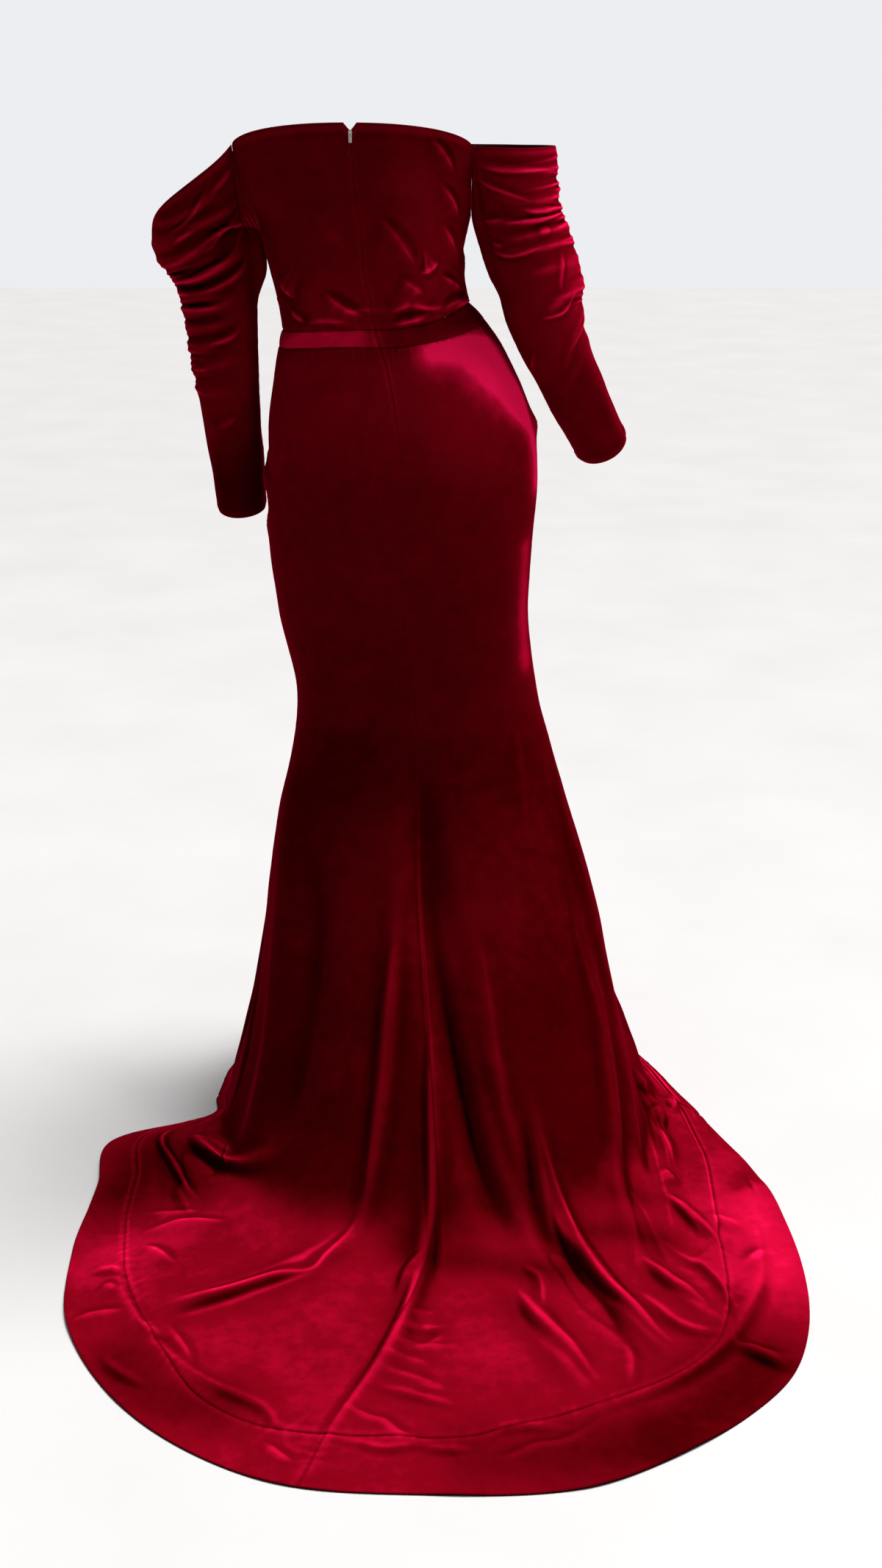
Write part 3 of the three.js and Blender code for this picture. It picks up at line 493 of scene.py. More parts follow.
def sleeve_place(name):
    """The same surface, by the distance down the sleeve's middle line instead of the share."""
    sleeve, armhole = SLEEVES[name], ARMHOLES[name]
    surface = sleeve_surface(name)

    def place(psi, s):
        start, _ = sleeve_start(sleeve, armhole, psi)
        return surface(psi, np.clip((s - start) / (sleeve["length"] - start), 0, 1))

    return place


# ---- creases ----
# Each row: width and depth in mm (a ridge where positive), lean, then places on the surface.
# lean 0 is even. Above 0 the flank on the right, seen from behind going down, is the steeper
# one and has a hollow under it, and below 0 the one on the left.

BODICE_CREASES = (   # places by angle and height
    (5, 4, 0.3, (122, 1383), (131, 1358), (140, 1333)),
    (5, 4, 0.3, (130, 1326), (141, 1300), (152, 1274)),
    (6, 4.5, 0.3, (134, 1276), (148, 1244), (162, 1212)),
    (7, 5, 0.3, (98, 1285), (108, 1253), (121, 1214)),
    (5, 4.5, -0.3, (121, 1214), (126, 1212), (138, 1226)),
    (5, 4.5, 0.3, (136, 1208), (149, 1194), (162, 1180)),
    (6, 4, 0.3, (108, 1206), (115, 1193), (122, 1180)),
    (6, 6, -0.3, (98, 1158), (111, 1170), (126, 1162)),
    (6, 6, 0.3, (132, 1158), (150, 1170), (180, 1158)),
    (5, 4, 0.3, (96, 1141), (110, 1148), (126, 1158)),
    (7, 6, -0.3, (26, 1200), (35, 1187), (44, 1174)),
    (5, 4.5, 0, (32, 1161), (40, 1152), (48, 1142)),
    (6, 6, 0.3, (64, 1186), (77, 1165), (87, 1152)),
    (12, 2, 0, (67, 1292), (75, 1267), (83, 1243)),
    (5, 4, -0.3, (46, 1141), (62, 1148), (80, 1146)),
    # the front and sides
    (7, 4.5, 0.3, (200, 1190), (218, 1176), (236, 1170)),
    (6, 4.5, -0.3, (206, 1240), (222, 1212), (240, 1196)),
    (7, 5, 0.3, (262, 1182), (276, 1172), (292, 1176)),
    (6, 4.5, 0, (300, 1202), (314, 1186), (330, 1178)),
    (7, 4, -0.2, (214, 1300), (226, 1268), (240, 1246)),
    (7, 4, 0.2, (326, 1290), (316, 1262), (302, 1240)),
    (5, 4, 0, (344, 1176), (356, 1168), (10, 1162)),
    (9, 4, 0, (250, 1312), (262, 1302), (276, 1306)),
    (6, 4, 0.3, (170, 1240), (182, 1216), (196, 1200)),
)
SKIRT_CREASES = (    # places by angle and level
    # hips
    (20, 3.2, 0.2, (115, 1.15), (132, 1.14), (156, 1.28)),
    (18, 2.5, 0.1, (49, 1.56), (67, 1.41), (82, 1.35)),
    (10, 2, 0, (36, 2.15), (30, 2.55), (22, 2.98)),
    (10, 3, 0, (36, 3.29), (12, 3.62), (-17, 4.05)),
    (12, 6, 0, (170, 2.24), (180, 2.2), (190, 2.24)),
    (20, 9, 0, (8, 2.75), (0, 3), (-9, 3.2)),
    (4, 2, 0.2, (5, 3.4), (14, 3.15), (22, 2.95)),
    (4, 1.8, 0.2, (8, 3.75), (15, 3.5), (21, 3.35)),
    # from the knee down the back
    (9, 6, -0.3, (82.5, 8.56), (79.5, 9.21), (76.5, 10.18), (73.8, 10.93), (72.8, 11.7)),
    (6, 4.5, -0.35, (91.2, 9.45), (89.5, 10.44), (88.8, 11.64), (88.8, 12.19)),
    (14, 5, 0.2, (109.5, 8.68), (109.5, 9.98), (109.2, 10.76)),
    (12, 2, 0, (142.5, 6.28), (141, 7), (138.8, 7.79)),
    (11, 4.5, -0.4, (160.2, 8.54), (154.8, 9.18), (154, 10.15), (149, 10.81), (141.5, 12.04),
     (132.5, 12.84), (122.2, 13.54), (117.3, 13.9)),
    (13, 6.5, -0.4, (175.8, 6.18), (172, 7.39), (168.5, 8.3), (166.3, 9.59), (166.5, 10.43),
     (162.8, 11.2), (154.5, 12.39), (141, 13.04)),
    (8, 4, -0.3, (164.5, 11.44), (160.5, 12.24), (150.5, 12.81), (142, 13.23), (135.2, 13.53)),
    (10, 3.5, 0, (169.5, 6.14), (178.2, 8.24), (182, 9.8), (191.5, 13.66)),
    # the small folds where the skirt's right side meets the floor
    (7, 6, -0.3, (166.5, 11.33), (171, 11.6), (175, 11.89)),
    (7, 6, -0.3, (168, 11.53), (169, 12.11), (166.3, 12.71)),
    (6, 5, -0.3, (168.2, 11.96), (163.2, 12.58), (154.2, 13.04)),
    (7, 6, 0.3, (171, 11.74), (172.8, 12.48), (169, 12.95)),
    (6, 5, -0.3, (168.2, 12.4), (161.8, 12.85), (155, 13.18)),
    (6, 5, 0.35, (153.2, 12.76), (152, 13), (150.5, 13.31)),
    # the train's right half
    (8, 9, -0.5, (119.5, 10.84), (120.2, 11.39), (119.8, 12.18), (117.6, 12.91), (117.2, 13.4),
     (117.9, 13.81), (118.2, 14.36), (119.5, 14.9)),
    (9, -8, 0, (118, 11.45), (117.2, 11.9), (114.6, 12.65), (113.4, 13.14), (114, 13.91), (114.6, 14.85)),
    (8, 7, -0.4, (103, 12.96), (103.8, 13.49), (106.5, 14.05), (108.5, 14.76)),
    (7, 5, -0.3, (105.8, 12.48), (107.8, 12.86), (106.2, 13.31), (104.8, 13.51)),
    (9, 6, -0.3, (141.8, 12.16), (138, 12.75), (133.8, 13.23), (127.5, 13.91)),
    (7, 5, -0.35, (145.5, 13.01), (144, 13.46), (140.8, 13.96)),
    (8, 7, -0.4, (133.5, 13.29), (133.5, 13.84), (134, 14.12), (131.2, 14.66), (127, 15.03)),
    (7, 6, -0.3, (127, 13.25), (126.3, 13.8), (127, 14.14), (127, 14.59)),
    (7, 6, -0.3, (121.2, 13.61), (121.5, 14.39), (124.2, 14.84), (125.2, 15.05)),
    (6, 4, 0.35, (114, 14.23), (113, 14.53), (110.8, 14.88)),
    (7, 6, -0.35, (124.8, 15), (126, 15.44), (127.7, 16)),
    (16, -6, 0, (152.8, 14.38), (162, 15.29), (161.5, 16)),
    (9, -5, 0, (135.8, 14.74), (132.5, 14.66), (129.8, 14.93)),
    (6, 5, 0.3, (138.8, 14.62), (142.8, 14.93), (146.2, 15.33)),
    (6, 4, 0.3, (146.6, 13.9), (147, 14.3), (148, 14.8)),
    (5, 3.5, -0.35, (93.8, 15.36), (96.2, 15.09), (99.8, 15.08), (104.2, 15.19)),
    (5, 3.5, 0.35, (94, 15.4), (96, 15.48), (99.2, 15.35), (102.2, 15.33), (107, 15.12)),
    (5, 3, -0.35, (87.8, 15.34), (90.5, 15.36), (93.8, 15.36)),
    (6, 3.5, 0.35, (125, 15.05), (127, 15.6), (130, 15.95)),
    (8, 6, -0.4, (98, 15.05), (108, 15.02), (118, 15.06), (128, 15), (140, 15.04), (152, 15)),
    (7, 4, 0.4, (38, 15.02), (50, 15), (62, 15.04), (74, 15)),
    # the train's middle and left half
    (5, 3, -0.35, (86.8, 13.66), (88.8, 13.61), (91.8, 13.48)),
    (5, 3, 0.3, (84.8, 13.96), (88.8, 13.88), (92.8, 13.8)),
    (5, 3, -0.35, (87.2, 14.44), (89, 14.5), (91.5, 14.55)),
    (9, 10, -0.5, (72, 11.7), (70.2, 12.24), (69, 12.68), (68.2, 12.98), (63.8, 13.29), (59.8, 13.75),
     (53.2, 14.62)),
    (6, -7, 0.35, (70, 12.9), (66, 13.2), (61.5, 13.72), (55, 14.72)),
    (6, 6, -0.35, (88.8, 12.19), (86.5, 12.91), (83.8, 13.91), (81.8, 14.51), (80, 15.2), (78.8, 15.95)),
    (6, 4, 0.35, (83.8, 13.08), (85.2, 12.66), (88, 12.19)),
    (8, 6, 0.3, (36.8, 14.58), (38.5, 13.99), (40.2, 13.6), (45.5, 12.93)),
    (7, 5, 0.3, (39.5, 14.53), (43, 14.26), (47.5, 14.05)),
    (7, 4, 0.3, (32.5, 14.5), (35.5, 13.9), (38.5, 13.3)),
    (7, 3.5, -0.3, (28, 13.7), (33.5, 13.58), (39, 13.5)),
    (6, 4, -0.35, (53, 15), (56, 14.93), (59, 14.83)),
    (5, 4, 0.35, (56.2, 14.7), (59.5, 14.78), (62.8, 14.9), (64.2, 15.03)),
    (5, 4, -0.35, (64.2, 15.03), (68.5, 15.04), (72.8, 15.06), (74.8, 15.21), (77, 15.29)),
    (5, 4, 0.35, (79.2, 14.75), (81, 14.81), (83.5, 14.95), (85, 15.01), (86.8, 15.2), (90.2, 15.26)),
    (5, 3, -0.35, (80.8, 15.34), (83, 15.34), (85.5, 15.4), (90.2, 15.26)),
    (5, 3, 0.35, (74.5, 15.49), (76, 15.61), (78.2, 15.73)),
    (5, 3.5, -0.35, (85, 13.6), (87.8, 13.59), (90.8, 13.59)),
    (5, 3.5, 0.35, (84.2, 13.78), (87, 13.83), (89, 13.8), (91.2, 13.59)),
    (5, 3, 0.3, (82.5, 13.96), (86.5, 14.06), (90.2, 14.14)),
    (5, 3.5, 0.35, (83.2, 14.21), (87, 14.31), (90.5, 14.48)),
    (5, 3.5, -0.35, (82.5, 14.44), (86, 14.53), (90.2, 14.71), (93.2, 14.79)),
    (5, 2.5, 0.35, (86.2, 13.38), (88, 13.33), (90.5, 13.28)),
    (7, 5, 0.4, (47.2, 16), (48.5, 15.55), (51, 15.04)),
    (6, 4, -0.35, (40.2, 15.59), (42.5, 15.06), (45.2, 14.8)),
    (5, 3, 0.35, (44, 15.28), (45.4, 15.16), (46.8, 15.04)),
    (6, 4, -0.35, (53.8, 15.74), (57.5, 15.69), (61.8, 15.56)),
    (16, -9, 0, (17.8, 13.65), (24, 13.18), (29, 12.62), (29, 12.14)),
    (10, 7, 0.3, (15.2, 14.18), (17.8, 13.1), (22, 12.48), (27, 12.16)),
    (9, 5, 0, (17.5, 14.2), (24.5, 13.83), (30, 13.46)),
    # the left side and the front
    (10, 4, 0.3, (0, 2.4), (-12, 2.75), (-26, 2.9)),
    (10, 4, -0.3, (200, 1.6), (216, 1.9), (234, 2.0)),
    (12, 3, 0, (252, 1.2), (270, 1.34), (290, 1.2)),
    (11, 4, 0.3, (338, 3.4), (322, 3.8), (302, 3.9)),
    (12, 4, -0.3, (196, 4.4), (212, 4.9), (232, 5.0)),
    (11, 4, 0, (256, 5.4), (270, 5.7), (288, 5.5)),
    (9, 6, 0.3, (206, 7.6), (209, 9.6), (214, 12.2), (216, 13.8)),
    (9, -6, 0, (221, 8.4), (224, 10.6), (226, 13)),
    (8, 6, -0.3, (246, 8.2), (250, 10.4), (253, 13.4)),
    (9, 5, 0.3, (266, 8.6), (265, 11.2), (262, 14)),
    (8, 6, -0.3, (291, 8), (295, 10.8), (299, 13.6)),
    (9, 6, 0.3, (326, 8.2), (331, 10.4), (337, 12.8)),
    (7, 5, 0.35, (352, 9.2), (353, 11), (356, 12.8)),
    (7, 5, 0.3, (6, 9.6), (10, 11.2), (10, 12.9)),
    (6, 4, -0.35, (278, 9.6), (282, 11.6), (284, 13.8)),
    (6, 4, 0.35, (236, 10.4), (240, 12), (241, 14)),
    (6, 5, 0.3, (184, 10.2), (188, 11.6), (196, 13)),
    (7, 5, -0.35, (200, 12.9), (196, 13.7), (197, 14.6)),
    (6, 4, 0.35, (211, 13.1), (215, 14), (223, 14.7)),
    (7, 5, -0.3, (176, 13.2), (178, 13.9), (184, 14.6)),
)
SLEEVE_CREASES = {   # places by angle round the sleeve, towards the back, and distance down it
    "left": (
        ((142, 24), (124, 46), (105, 68)), ((112, 43), (83, 97), (51, 117)),
        ((150, 74), (103, 139), (73, 142)), ((152, 100), (139, 118), (126, 135)),
        ((155, 111), (119, 158), (56, 175)), ((160, 147), (124, 180), (81, 196), (39, 193)),
        ((89, 112), (72, 119), (55, 125)), ((11, 220), (76, 219), (99, 212)),
        ((65, 264), (108, 256), (129, 243)), ((18, 297), (45, 295), (71, 290)),
        ((64, 373), (88, 366), (111, 355)),
        ((-142, 30), (-124, 52), (-105, 74)), ((-112, 49), (-83, 103), (-51, 123)),
        ((-150, 84), (-103, 149), (-70, 152)), ((-152, 112), (-119, 164), (-56, 181)),
        ((-158, 156), (-124, 190), (-81, 204), (-39, 198)), ((-14, 236), (-76, 233), (-99, 224)),
        ((-60, 282), (-108, 272), (-129, 255)), ((-40, 330), (-78, 322), (-112, 306)),
    ),
    "right": (
        ((143, 25), (105, 35), (30, 37)), ((147, 41), (111, 61), (71, 81)),
        ((89, 87), (64, 97), (30, 97)), ((154, 91), (133, 97), (107, 97)),
        ((114, 101), (72, 108), (29, 114)), ((76, 128), (64, 129), (52, 130)),
        ((140, 119), (128, 124), (117, 129)), ((147, 124), (113, 143), (69, 146)),
        ((43, 152), (62, 194), (60, 209)), ((40, 205), (62, 231), (104, 233)),
        ((-16, 239), (20, 258), (61, 275)),
        ((-143, 31), (-105, 43), (-30, 45)), ((-147, 49), (-111, 69), (-71, 89)),
        ((-89, 97), (-64, 105), (-30, 103)), ((-154, 99), (-120, 118), (-72, 124)),
        ((-147, 136), (-113, 155), (-69, 158)), ((-50, 186), (-86, 198), (-120, 214)),
        ((-104, 246), (-128, 262), (-150, 292)), ((120, 262), (142, 284), (168, 296)),
    ),
}
SLEEVE_CREASE_WIDTH = 3.0
SLEEVE_CREASE_DEPTH = 2.0
PATH_STEPS = 10         # places worked out between two given ones
CREASE_TIP = 0.42       # share of its length over which a crease dies out at each end
CREST_SHARPNESS = 1.25
HOLLOW = 0.45           # depth of the hollow beside a leaning crease, as a share of its own
HOLLOW_AWAY = 2.3       # its distance from the crest, in widths
HOLLOW_HALF = 1.1       # and its own half width, in widths
REACH = 8               # a crease is felt within this many widths
STEEPER = 0.5           # how much narrower its steep flank is, for a lean of 1
GENTLER = 3.5           # and how much wider its gentle one
GROOVE_HALF = 2.6       # half width of a seam's groove
PUCKER_STRENGTHS = (0.3, 1)
PUCKER_WIDTHS = (2.2, 5)
PUCKER_LENGTHS = (6, 20)
PUCKER_SLANTS = (-0.6, 0.6)


def path_on(surface, places):
    """Points along a smooth line through places on a surface, given by angle and distance."""
    last = len(places) - 1
    table = Table(*[(k, *place) for k, place in enumerate(places)])
    angle, along = table.at(np.linspace(0, last, last * PATH_STEPS + 1))
    return surface(np.radians(angle), along)


def crease(points, normals, path, width, depth, lean):
    """The relief in mm that one crease gives to points of the cloth."""
    low = path.min(axis=0) - REACH * width
    high = path.max(axis=0) + REACH * width
    near = np.all((points > low) & (points < high), axis=1)
    relief = np.zeros(len(points))
    if not near.any():
        return relief
    p, n = points[near], normals[near]
    start, way = path[:-1], np.diff(path, axis=0)
    length = np.linalg.norm(way, axis=1)
    run = np.concatenate([[0], np.cumsum(length)])
    # the nearest place on the path: its squared distance, its share of the length, and the side
    # that the point is on, positive on the left as seen from outside going down
    best = np.full(len(p), np.inf)
    share, side = np.zeros(len(p)), np.zeros(len(p))
    for k in range(len(way)):
        t = np.clip(((p - start[k]) @ way[k]) / max(length[k] ** 2, 1e-9), 0, 1)
        off = p - (start[k] + t[:, None] * way[k])
        distance = np.einsum("ij,ij->i", off, off)
        closer = distance < best
        best[closer] = distance[closer]
        share[closer] = ((run[k] + t * length[k]) / run[-1])[closer]
        turned = np.cross(np.broadcast_to(way[k], n.shape), n)
        side[closer] = np.sign(np.einsum("ij,ij->i", off, turned))[closer]
    taper = smooth(share / CREASE_TIP) * smooth((1 - share) / CREASE_TIP)
    steep = -side * np.sign(lean) if lean else side
    flank = np.where(steep > 0, 1 - STEEPER * abs(lean), 1 + GENTLER * abs(lean))
    x = np.sqrt(best) / (width * (0.5 + 0.5 * taper) * flank)
    shape = 1 / np.cosh(np.minimum(CREST_SHARPNESS * x, 30))
    if lean and depth > 0:
        hollow = bell((x - HOLLOW_AWAY) / HOLLOW_HALF)
        shape = shape - HOLLOW * abs(lean) * np.where(steep > 0, hollow, 0)
    relief[near] = depth * taper * shape
    return relief


def waviness(points, seed, wavelengths, amount, count=14):
    """A smooth unevenness: the sum of waves of many directions."""
    random = np.random.default_rng(seed)
    total = np.zeros(len(points))
    for _ in range(count):
        direction = unit(random.normal(size=3))
        per_mm = 2 * math.pi / random.uniform(*wavelengths)
        total += np.sin(points @ direction * per_mm + random.uniform(0, 2 * math.pi))
    return total * amount / math.sqrt(count / 2)


def seam_relief(away, run, seed, groove=1.3, pucker=0.8, spacing=(8, 20)):
    """A sewn edge: a groove, and small puckers across it that die out in the cloth."""
    random = np.random.default_rng(seed)
    relief = -groove * bell(away / GROOVE_HALF)
    at = random.uniform(*spacing)
    while at < run.max():
        strength = random.uniform(*PUCKER_STRENGTHS) * pucker
        width = random.uniform(*PUCKER_WIDTHS)
        length = random.uniform(*PUCKER_LENGTHS)
        slant = random.uniform(*PUCKER_SLANTS)
        ridge = strength * bell((run - at - slant * away) / width)
        relief = relief + ridge * np.exp(-away / length)
        at += random.uniform(*spacing)
    return relief


# ---- meshes ----

UV_OUTER_END = 0.49     # the outer face has the left of the UV square, the inner one the right
UV_INNER_START = 0.51
OUTER_FLOOR = SHELL + 0.3   # least heights of the shell's two faces above the floor
INNER_FLOOR = 0.2


def least_round(field):
    """The lowest of each value and its eight neighbours, twice."""
    for _ in range(2):
        padded = np.pad(field, 1, mode="edge")
        rows, columns = field.shape
        field = np.min([padded[i:i + rows, j:j + columns] for i in range(3) for j in range(3)], axis=0)
    return field


def blurred(field, times):
    """The mean of each value and its four neighbours, its own counted twice."""
    for _ in range(times):
        padded = np.pad(field, 1, mode="edge")
        field = (padded[:-2, 1:-1] + padded[2:, 1:-1] + padded[1:-1, :-2] + padded[1:-1, 2:]
                 + 2 * field) / 6
    return field


def bend_of(grid, normal):
    """How sharply the cloth bends outwards at each point, in 1/mm, negative in a hollow."""
    bend = np.zeros(grid.shape[:2])
    for axis in (0, 1):
        before, after = np.roll(grid, 1, axis), np.roll(grid, -1, axis)
        span = np.linalg.norm(after - grid, axis=2) * np.linalg.norm(grid - before, axis=2)
        lift = np.sum(normal * (2 * grid - before - after), axis=2) / np.maximum(span, 0.5)
        edge = [slice(None), slice(None)]
        for end in (0, -1):
            edge[axis] = end
            lift[tuple(edge)] = 0
        bend += lift
    return bend


def grid_normals(grid, turn):
    across, down = np.gradient(grid, axis=(0, 1))
    return unit(np.cross(down, across) * turn)


def distances(grid):
    """Distances in mm along the grid from its first and last column, and first and last row."""
    steps_u = np.linalg.norm(np.diff(grid, axis=0), axis=2)
    steps_v = np.linalg.norm(np.diff(grid, axis=1), axis=2)
    run_u = np.concatenate([np.zeros((1, grid.shape[1])), np.cumsum(steps_u, axis=0)])
    run_v = np.concatenate([np.zeros((grid.shape[0], 1)), np.cumsum(steps_v, axis=1)], axis=1)
    return run_u, run_u[-1:] - run_u, run_v, run_v[:, -1:] - run_v


def quads(index):
    """The faces between the points of a grid, from their numbers."""
    corners = [index[:-1, :-1], index[:-1, 1:], index[1:, 1:], index[1:, :-1]]
    return np.stack(corners, -1).reshape(-1, 4)


def borders(index):
    """The numbers along a grid's four edges, one way round."""
    return index[0], index[:, -1], index[-1, ::-1], index[::-1, 0]


def grid_uv(shape, start, end):
    u, v = np.meshgrid(np.linspace(start, end, shape[0]), np.linspace(0, 1, shape[1]), indexing="ij")
    return np.stack([u, v], -1).reshape(-1, 2)


def shell_mesh(name, outer, inner, turn, tone):
    """A closed thin shell: the outer grid, an inner grid with half as many steps, and its rim."""
    points = np.concatenate([outer.reshape(-1, 3), inner.reshape(-1, 3)]) * MM
    points[:, 2] -= WAIST * MM
    at = np.arange(outer[..., 0].size).reshape(outer.shape[:2])
    within = np.arange(inner[..., 0].size).reshape(inner.shape[:2]) + at.size
    front, back = quads(at), quads(within)[:, ::-1]
    rim = np.array([(edge[2 * k + 2], edge[2 * k + 1], edge[2 * k], edge_within[k], edge_within[k + 1])
                    for edge, edge_within in zip(borders(at), borders(within))
                    for k in range(len(edge_within) - 1)])
    if turn < 0:
        front, back, rim = front[:, ::-1], back[:, ::-1], rim[:, ::-1]
    mesh = bpy.data.meshes.new(name)
    mesh.vertices.add(len(points))
    mesh.vertices.foreach_set("co", points.ravel())
    loops = np.concatenate([front.ravel(), back.ravel(), rim.ravel()])
    sizes = np.concatenate([np.full(len(front) + len(back), 4), np.full(len(rim), 5)])
    starts = np.concatenate([[0], np.cumsum(sizes)[:-1]])
    mesh.loops.add(len(loops))
    mesh.loops.foreach_set("vertex_index", loops)
    mesh.polygons.add(len(sizes))
    mesh.polygons.foreach_set("loop_start", starts)
    mesh.polygons.foreach_set("loop_total", sizes)
    kinds = np.repeat([0, 1, 2], [len(front), len(back), len(rim)])
    mesh.polygons.foreach_set("material_index", (kinds == 1).astype(int))
    mesh.polygons.foreach_set("use_smooth", kinds < 2)
    mesh.update(calc_edges=True)
    mesh.validate()
    attribute = mesh.attributes.new("tone", "FLOAT", "POINT")
    values = np.concatenate([tone.ravel(), np.zeros(within.size)])
    attribute.data.foreach_set("value", values.astype(np.float32))
    layer = mesh.uv_layers.new(name="UVMap")
    uv = np.concatenate([grid_uv(at.shape, 0, UV_OUTER_END), grid_uv(within.shape, UV_INNER_START, 1)])
    layer.data.foreach_set("uv", uv[loops].astype(np.float32).ravel())
    return mesh


def draw_in(grid):
    """Moves the edge points towards their neighbours by half a seam gap."""
    for lines in (grid, grid.swapaxes(0, 1)):
        for edge, inside in ((0, 1), (-1, -2)):
            lines[edge] += unit(lines[inside] - lines[edge]) * SEAM_GAP / 2


CREST_SCALE = 6         # mm, turns a bend into a share of the crest's painted highlight
CREST_LIGHT_AND_SHADE = 0.42       # painted highlight and painted shade: how much a crest lifts the tone, and a hollow lowers it

# Painted light on the pile's tone, by how far the cloth faces up: light where it lies on the floor and faces
# the light from above, dark where it hangs.
LIGHT_BY_SLOPE = Table(
    (-1, 0.36), (0, 0.36), (0.15, 0.36), (0.4, 0.26), (0.7, 0.26), (0.86, 0.42), (0.96, 0.59), (1, 0.63),
)

# Patches of painted highlight and painted shade, where the light falls on the gown and where it misses it,
# together with places where the pile is brushed light or dark: reach in mm, amount, and places.
BRUSHED_AND_LIT_SKIRT = (       # places by angle and level
    (40, 0.80, (146, 1.1), (155, 1.5)),
    (26, 0.60, (116, 0.3), (135, 0.45), (150, 0.7)),
    (24, 0.60, (160, 1.9), (166, 2.4), (168, 3.1)),
    (20, 0.42, (158, 4), (160, 5), (159, 5.6)),
    (110, 0.11, (70, 8.2), (94, 8.5), (115, 8.3)),
    (90, 0.28, (50, 0.8), (98, 1.0), (120, 1.6)),
    (70, 0.14, (150, 14.6), (145, 15.1), (140, 14.8)),
    (50, 0.09, (155, 15.4), (149, 15.6), (141, 15.6)),
    (75, -0.36, (124, 15.6), (112, 15.8)),
    (60, -0.22, (104, 15.6), (94, 15.5)),
    (60, -0.36, (27, 15.1), (20, 14.4), (28, 13.8)),
    (45, 0.14, (40, 13.9), (40, 15.5)),
    (46, -0.28, (56, 15.6), (63, 15.6), (69, 15.3)),
    (38, -0.26, (84, 12.2), (96, 12.4), (106, 12.65), (113, 12.8)),
    (32, -0.26, (124, 12.5), (130, 12.9), (133, 13.3)),
    (30, -0.20, (137, 12.2), (140, 12.6)),
)
BRUSHED_AND_LIT_BAND = (        # places by angle and height
    (26, 0.42, (15, 1117), (50, 1123), (80, 1130)),
)
BRUSHED_AND_LIT_BODICE = (
    (45, 0.20, (122, 1175), (135, 1220)),
    (40, 0.12, (118, 1320), (130, 1290)),
    (30, 0.16, (60, 1160), (80, 1155)),
)
BRUSHED_AND_LIT_SLEEVES = {     # places by angle round the sleeve and distance down it
    "left": ((90, -0.26, (40, 480), (40, 560)),),
    "right": ((80, 0.30, (30, 60), (30, 200)), (80, -0.06, (30, 440), (30, 540))),
}


def brushed_and_lit(points, rows, place):
    """What the brushed places and the patches of painted highlight and painted shade add to the tone."""
    tone = np.zeros(len(points))
    for reach, amount, *places in rows:
        away = np.full(len(points), np.inf)
        for at in path_on(place, places):
            away = np.minimum(away, np.linalg.norm(points - at, axis=1))
        tone += amount * bell(away / reach)
    return tone


def cloth_piece(node, surface, turn, columns, rows, creases, extra, flat, area, held,
                floor=True, calm_top=0, calm_bottom=0, brushing_and_light=(), place=None):
    """One panel of cloth that replaces its CAD node. extra gives the relief of its edges.
    Creases die out over calm_top and calm_bottom, in mm, at the top and bottom edge."""
    # one more column and row past each edge, so that pieces that meet have the same normals there
    u, v = [np.concatenate([[2 * at[0] - at[1]], at, [2 * at[-1] - at[-2]]]) for at in (columns, rows)]
    wide = surface(*np.meshgrid(u, v, indexing="ij"))
    normal = grid_normals(wide, turn)[1:-1, 1:-1]
    grid = wide[1:-1, 1:-1].copy()
    points, normals = grid.reshape(-1, 3), normal.reshape(-1, 3)
    relief = np.zeros(len(points))
    for path, width, depth, lean in creases:
        relief += crease(points, normals, path, width, depth, lean)
    relief = relief.reshape(grid.shape[:2])
    _, _, from_top, from_bottom = distances(grid)
    for calm, away in ((calm_top, from_top), (calm_bottom, from_bottom)):
        if calm:
            relief *= smooth(away / calm)
    relief += extra(grid, points)
    inward = least_round(relief) - SHELL
    draw_in(grid)
    outer = grid + normal * relief[..., None]
    inner = (grid + normal * inward[..., None])[::2, ::2]
    if floor:
        outer[..., 2] = np.maximum(outer[..., 2], OUTER_FLOOR)
        inner[..., 2] = np.maximum(inner[..., 2], INNER_FLOOR)
    outward = grid_normals(outer, turn)
    # the crests get a painted highlight and the hollows painted shade
    crest = np.clip(blurred(bend_of(outer, outward), 2) * CREST_SCALE, -1, 1)
    # painted light: the tone is lighter where the cloth faces up, with a painted highlight on crests and
    # painted shade in hollows
    tone = LIGHT_BY_SLOPE.at(blurred(outward[..., 2], 1))[0] + CREST_LIGHT_AND_SHADE * crest
    # patches of painted highlight and painted shade, with the pile's brushing
    tone += brushed_and_lit(outer.reshape(-1, 3), brushing_and_light, place).reshape(tone.shape)
    mesh = shell_mesh(node + "_cloth", outer, inner, turn, tone)
    mesh.materials.append(CRIMSON)
    mesh.materials.append(WRONG_SIDE)
    piece = bpy.data.objects.new(node + "_cloth", mesh)
    bpy.context.scene.collection.objects.link(piece)
    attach(piece, "gown")
    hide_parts(node)


# ---- materials ----

# velvet's colour from its darkest tone to its lightest; the tone holds painted light, so the dark stops also
# give painted shade and the light ones painted highlights
VELVET_TONES = (
    (0.00, (0.006, 0.0000, 0.0001, 1)),
    (0.26, (0.050, 0.0001, 0.0007, 1)),
    (0.61, (0.170, 0.0006, 0.0060, 1)),
    (0.85, (0.460, 0.0020, 0.0280, 1)),
    (1.00, (0.850, 0.0060, 0.0760, 1)),
)
NAP_LIFT = 0.10         # how much the fine and the broad mottling move the tone
PATCH_LIFT = 0.10
SHEEN_TINT = (1.0, 0.0, 0.058, 1)
BACKING = (0.045, 0.002, 0.006, 1)
BACKING_DARK = (0.028, 0.0012, 0.004, 1)
METAL = (0.80, 0.70, 0.62, 1)
METAL_WORN = (0.62, 0.52, 0.45, 1)
FLOOR_COLOUR = (0.56, 0.55, 0.545, 1)
FLOOR_DARK = (0.53, 0.52, 0.515, 1)


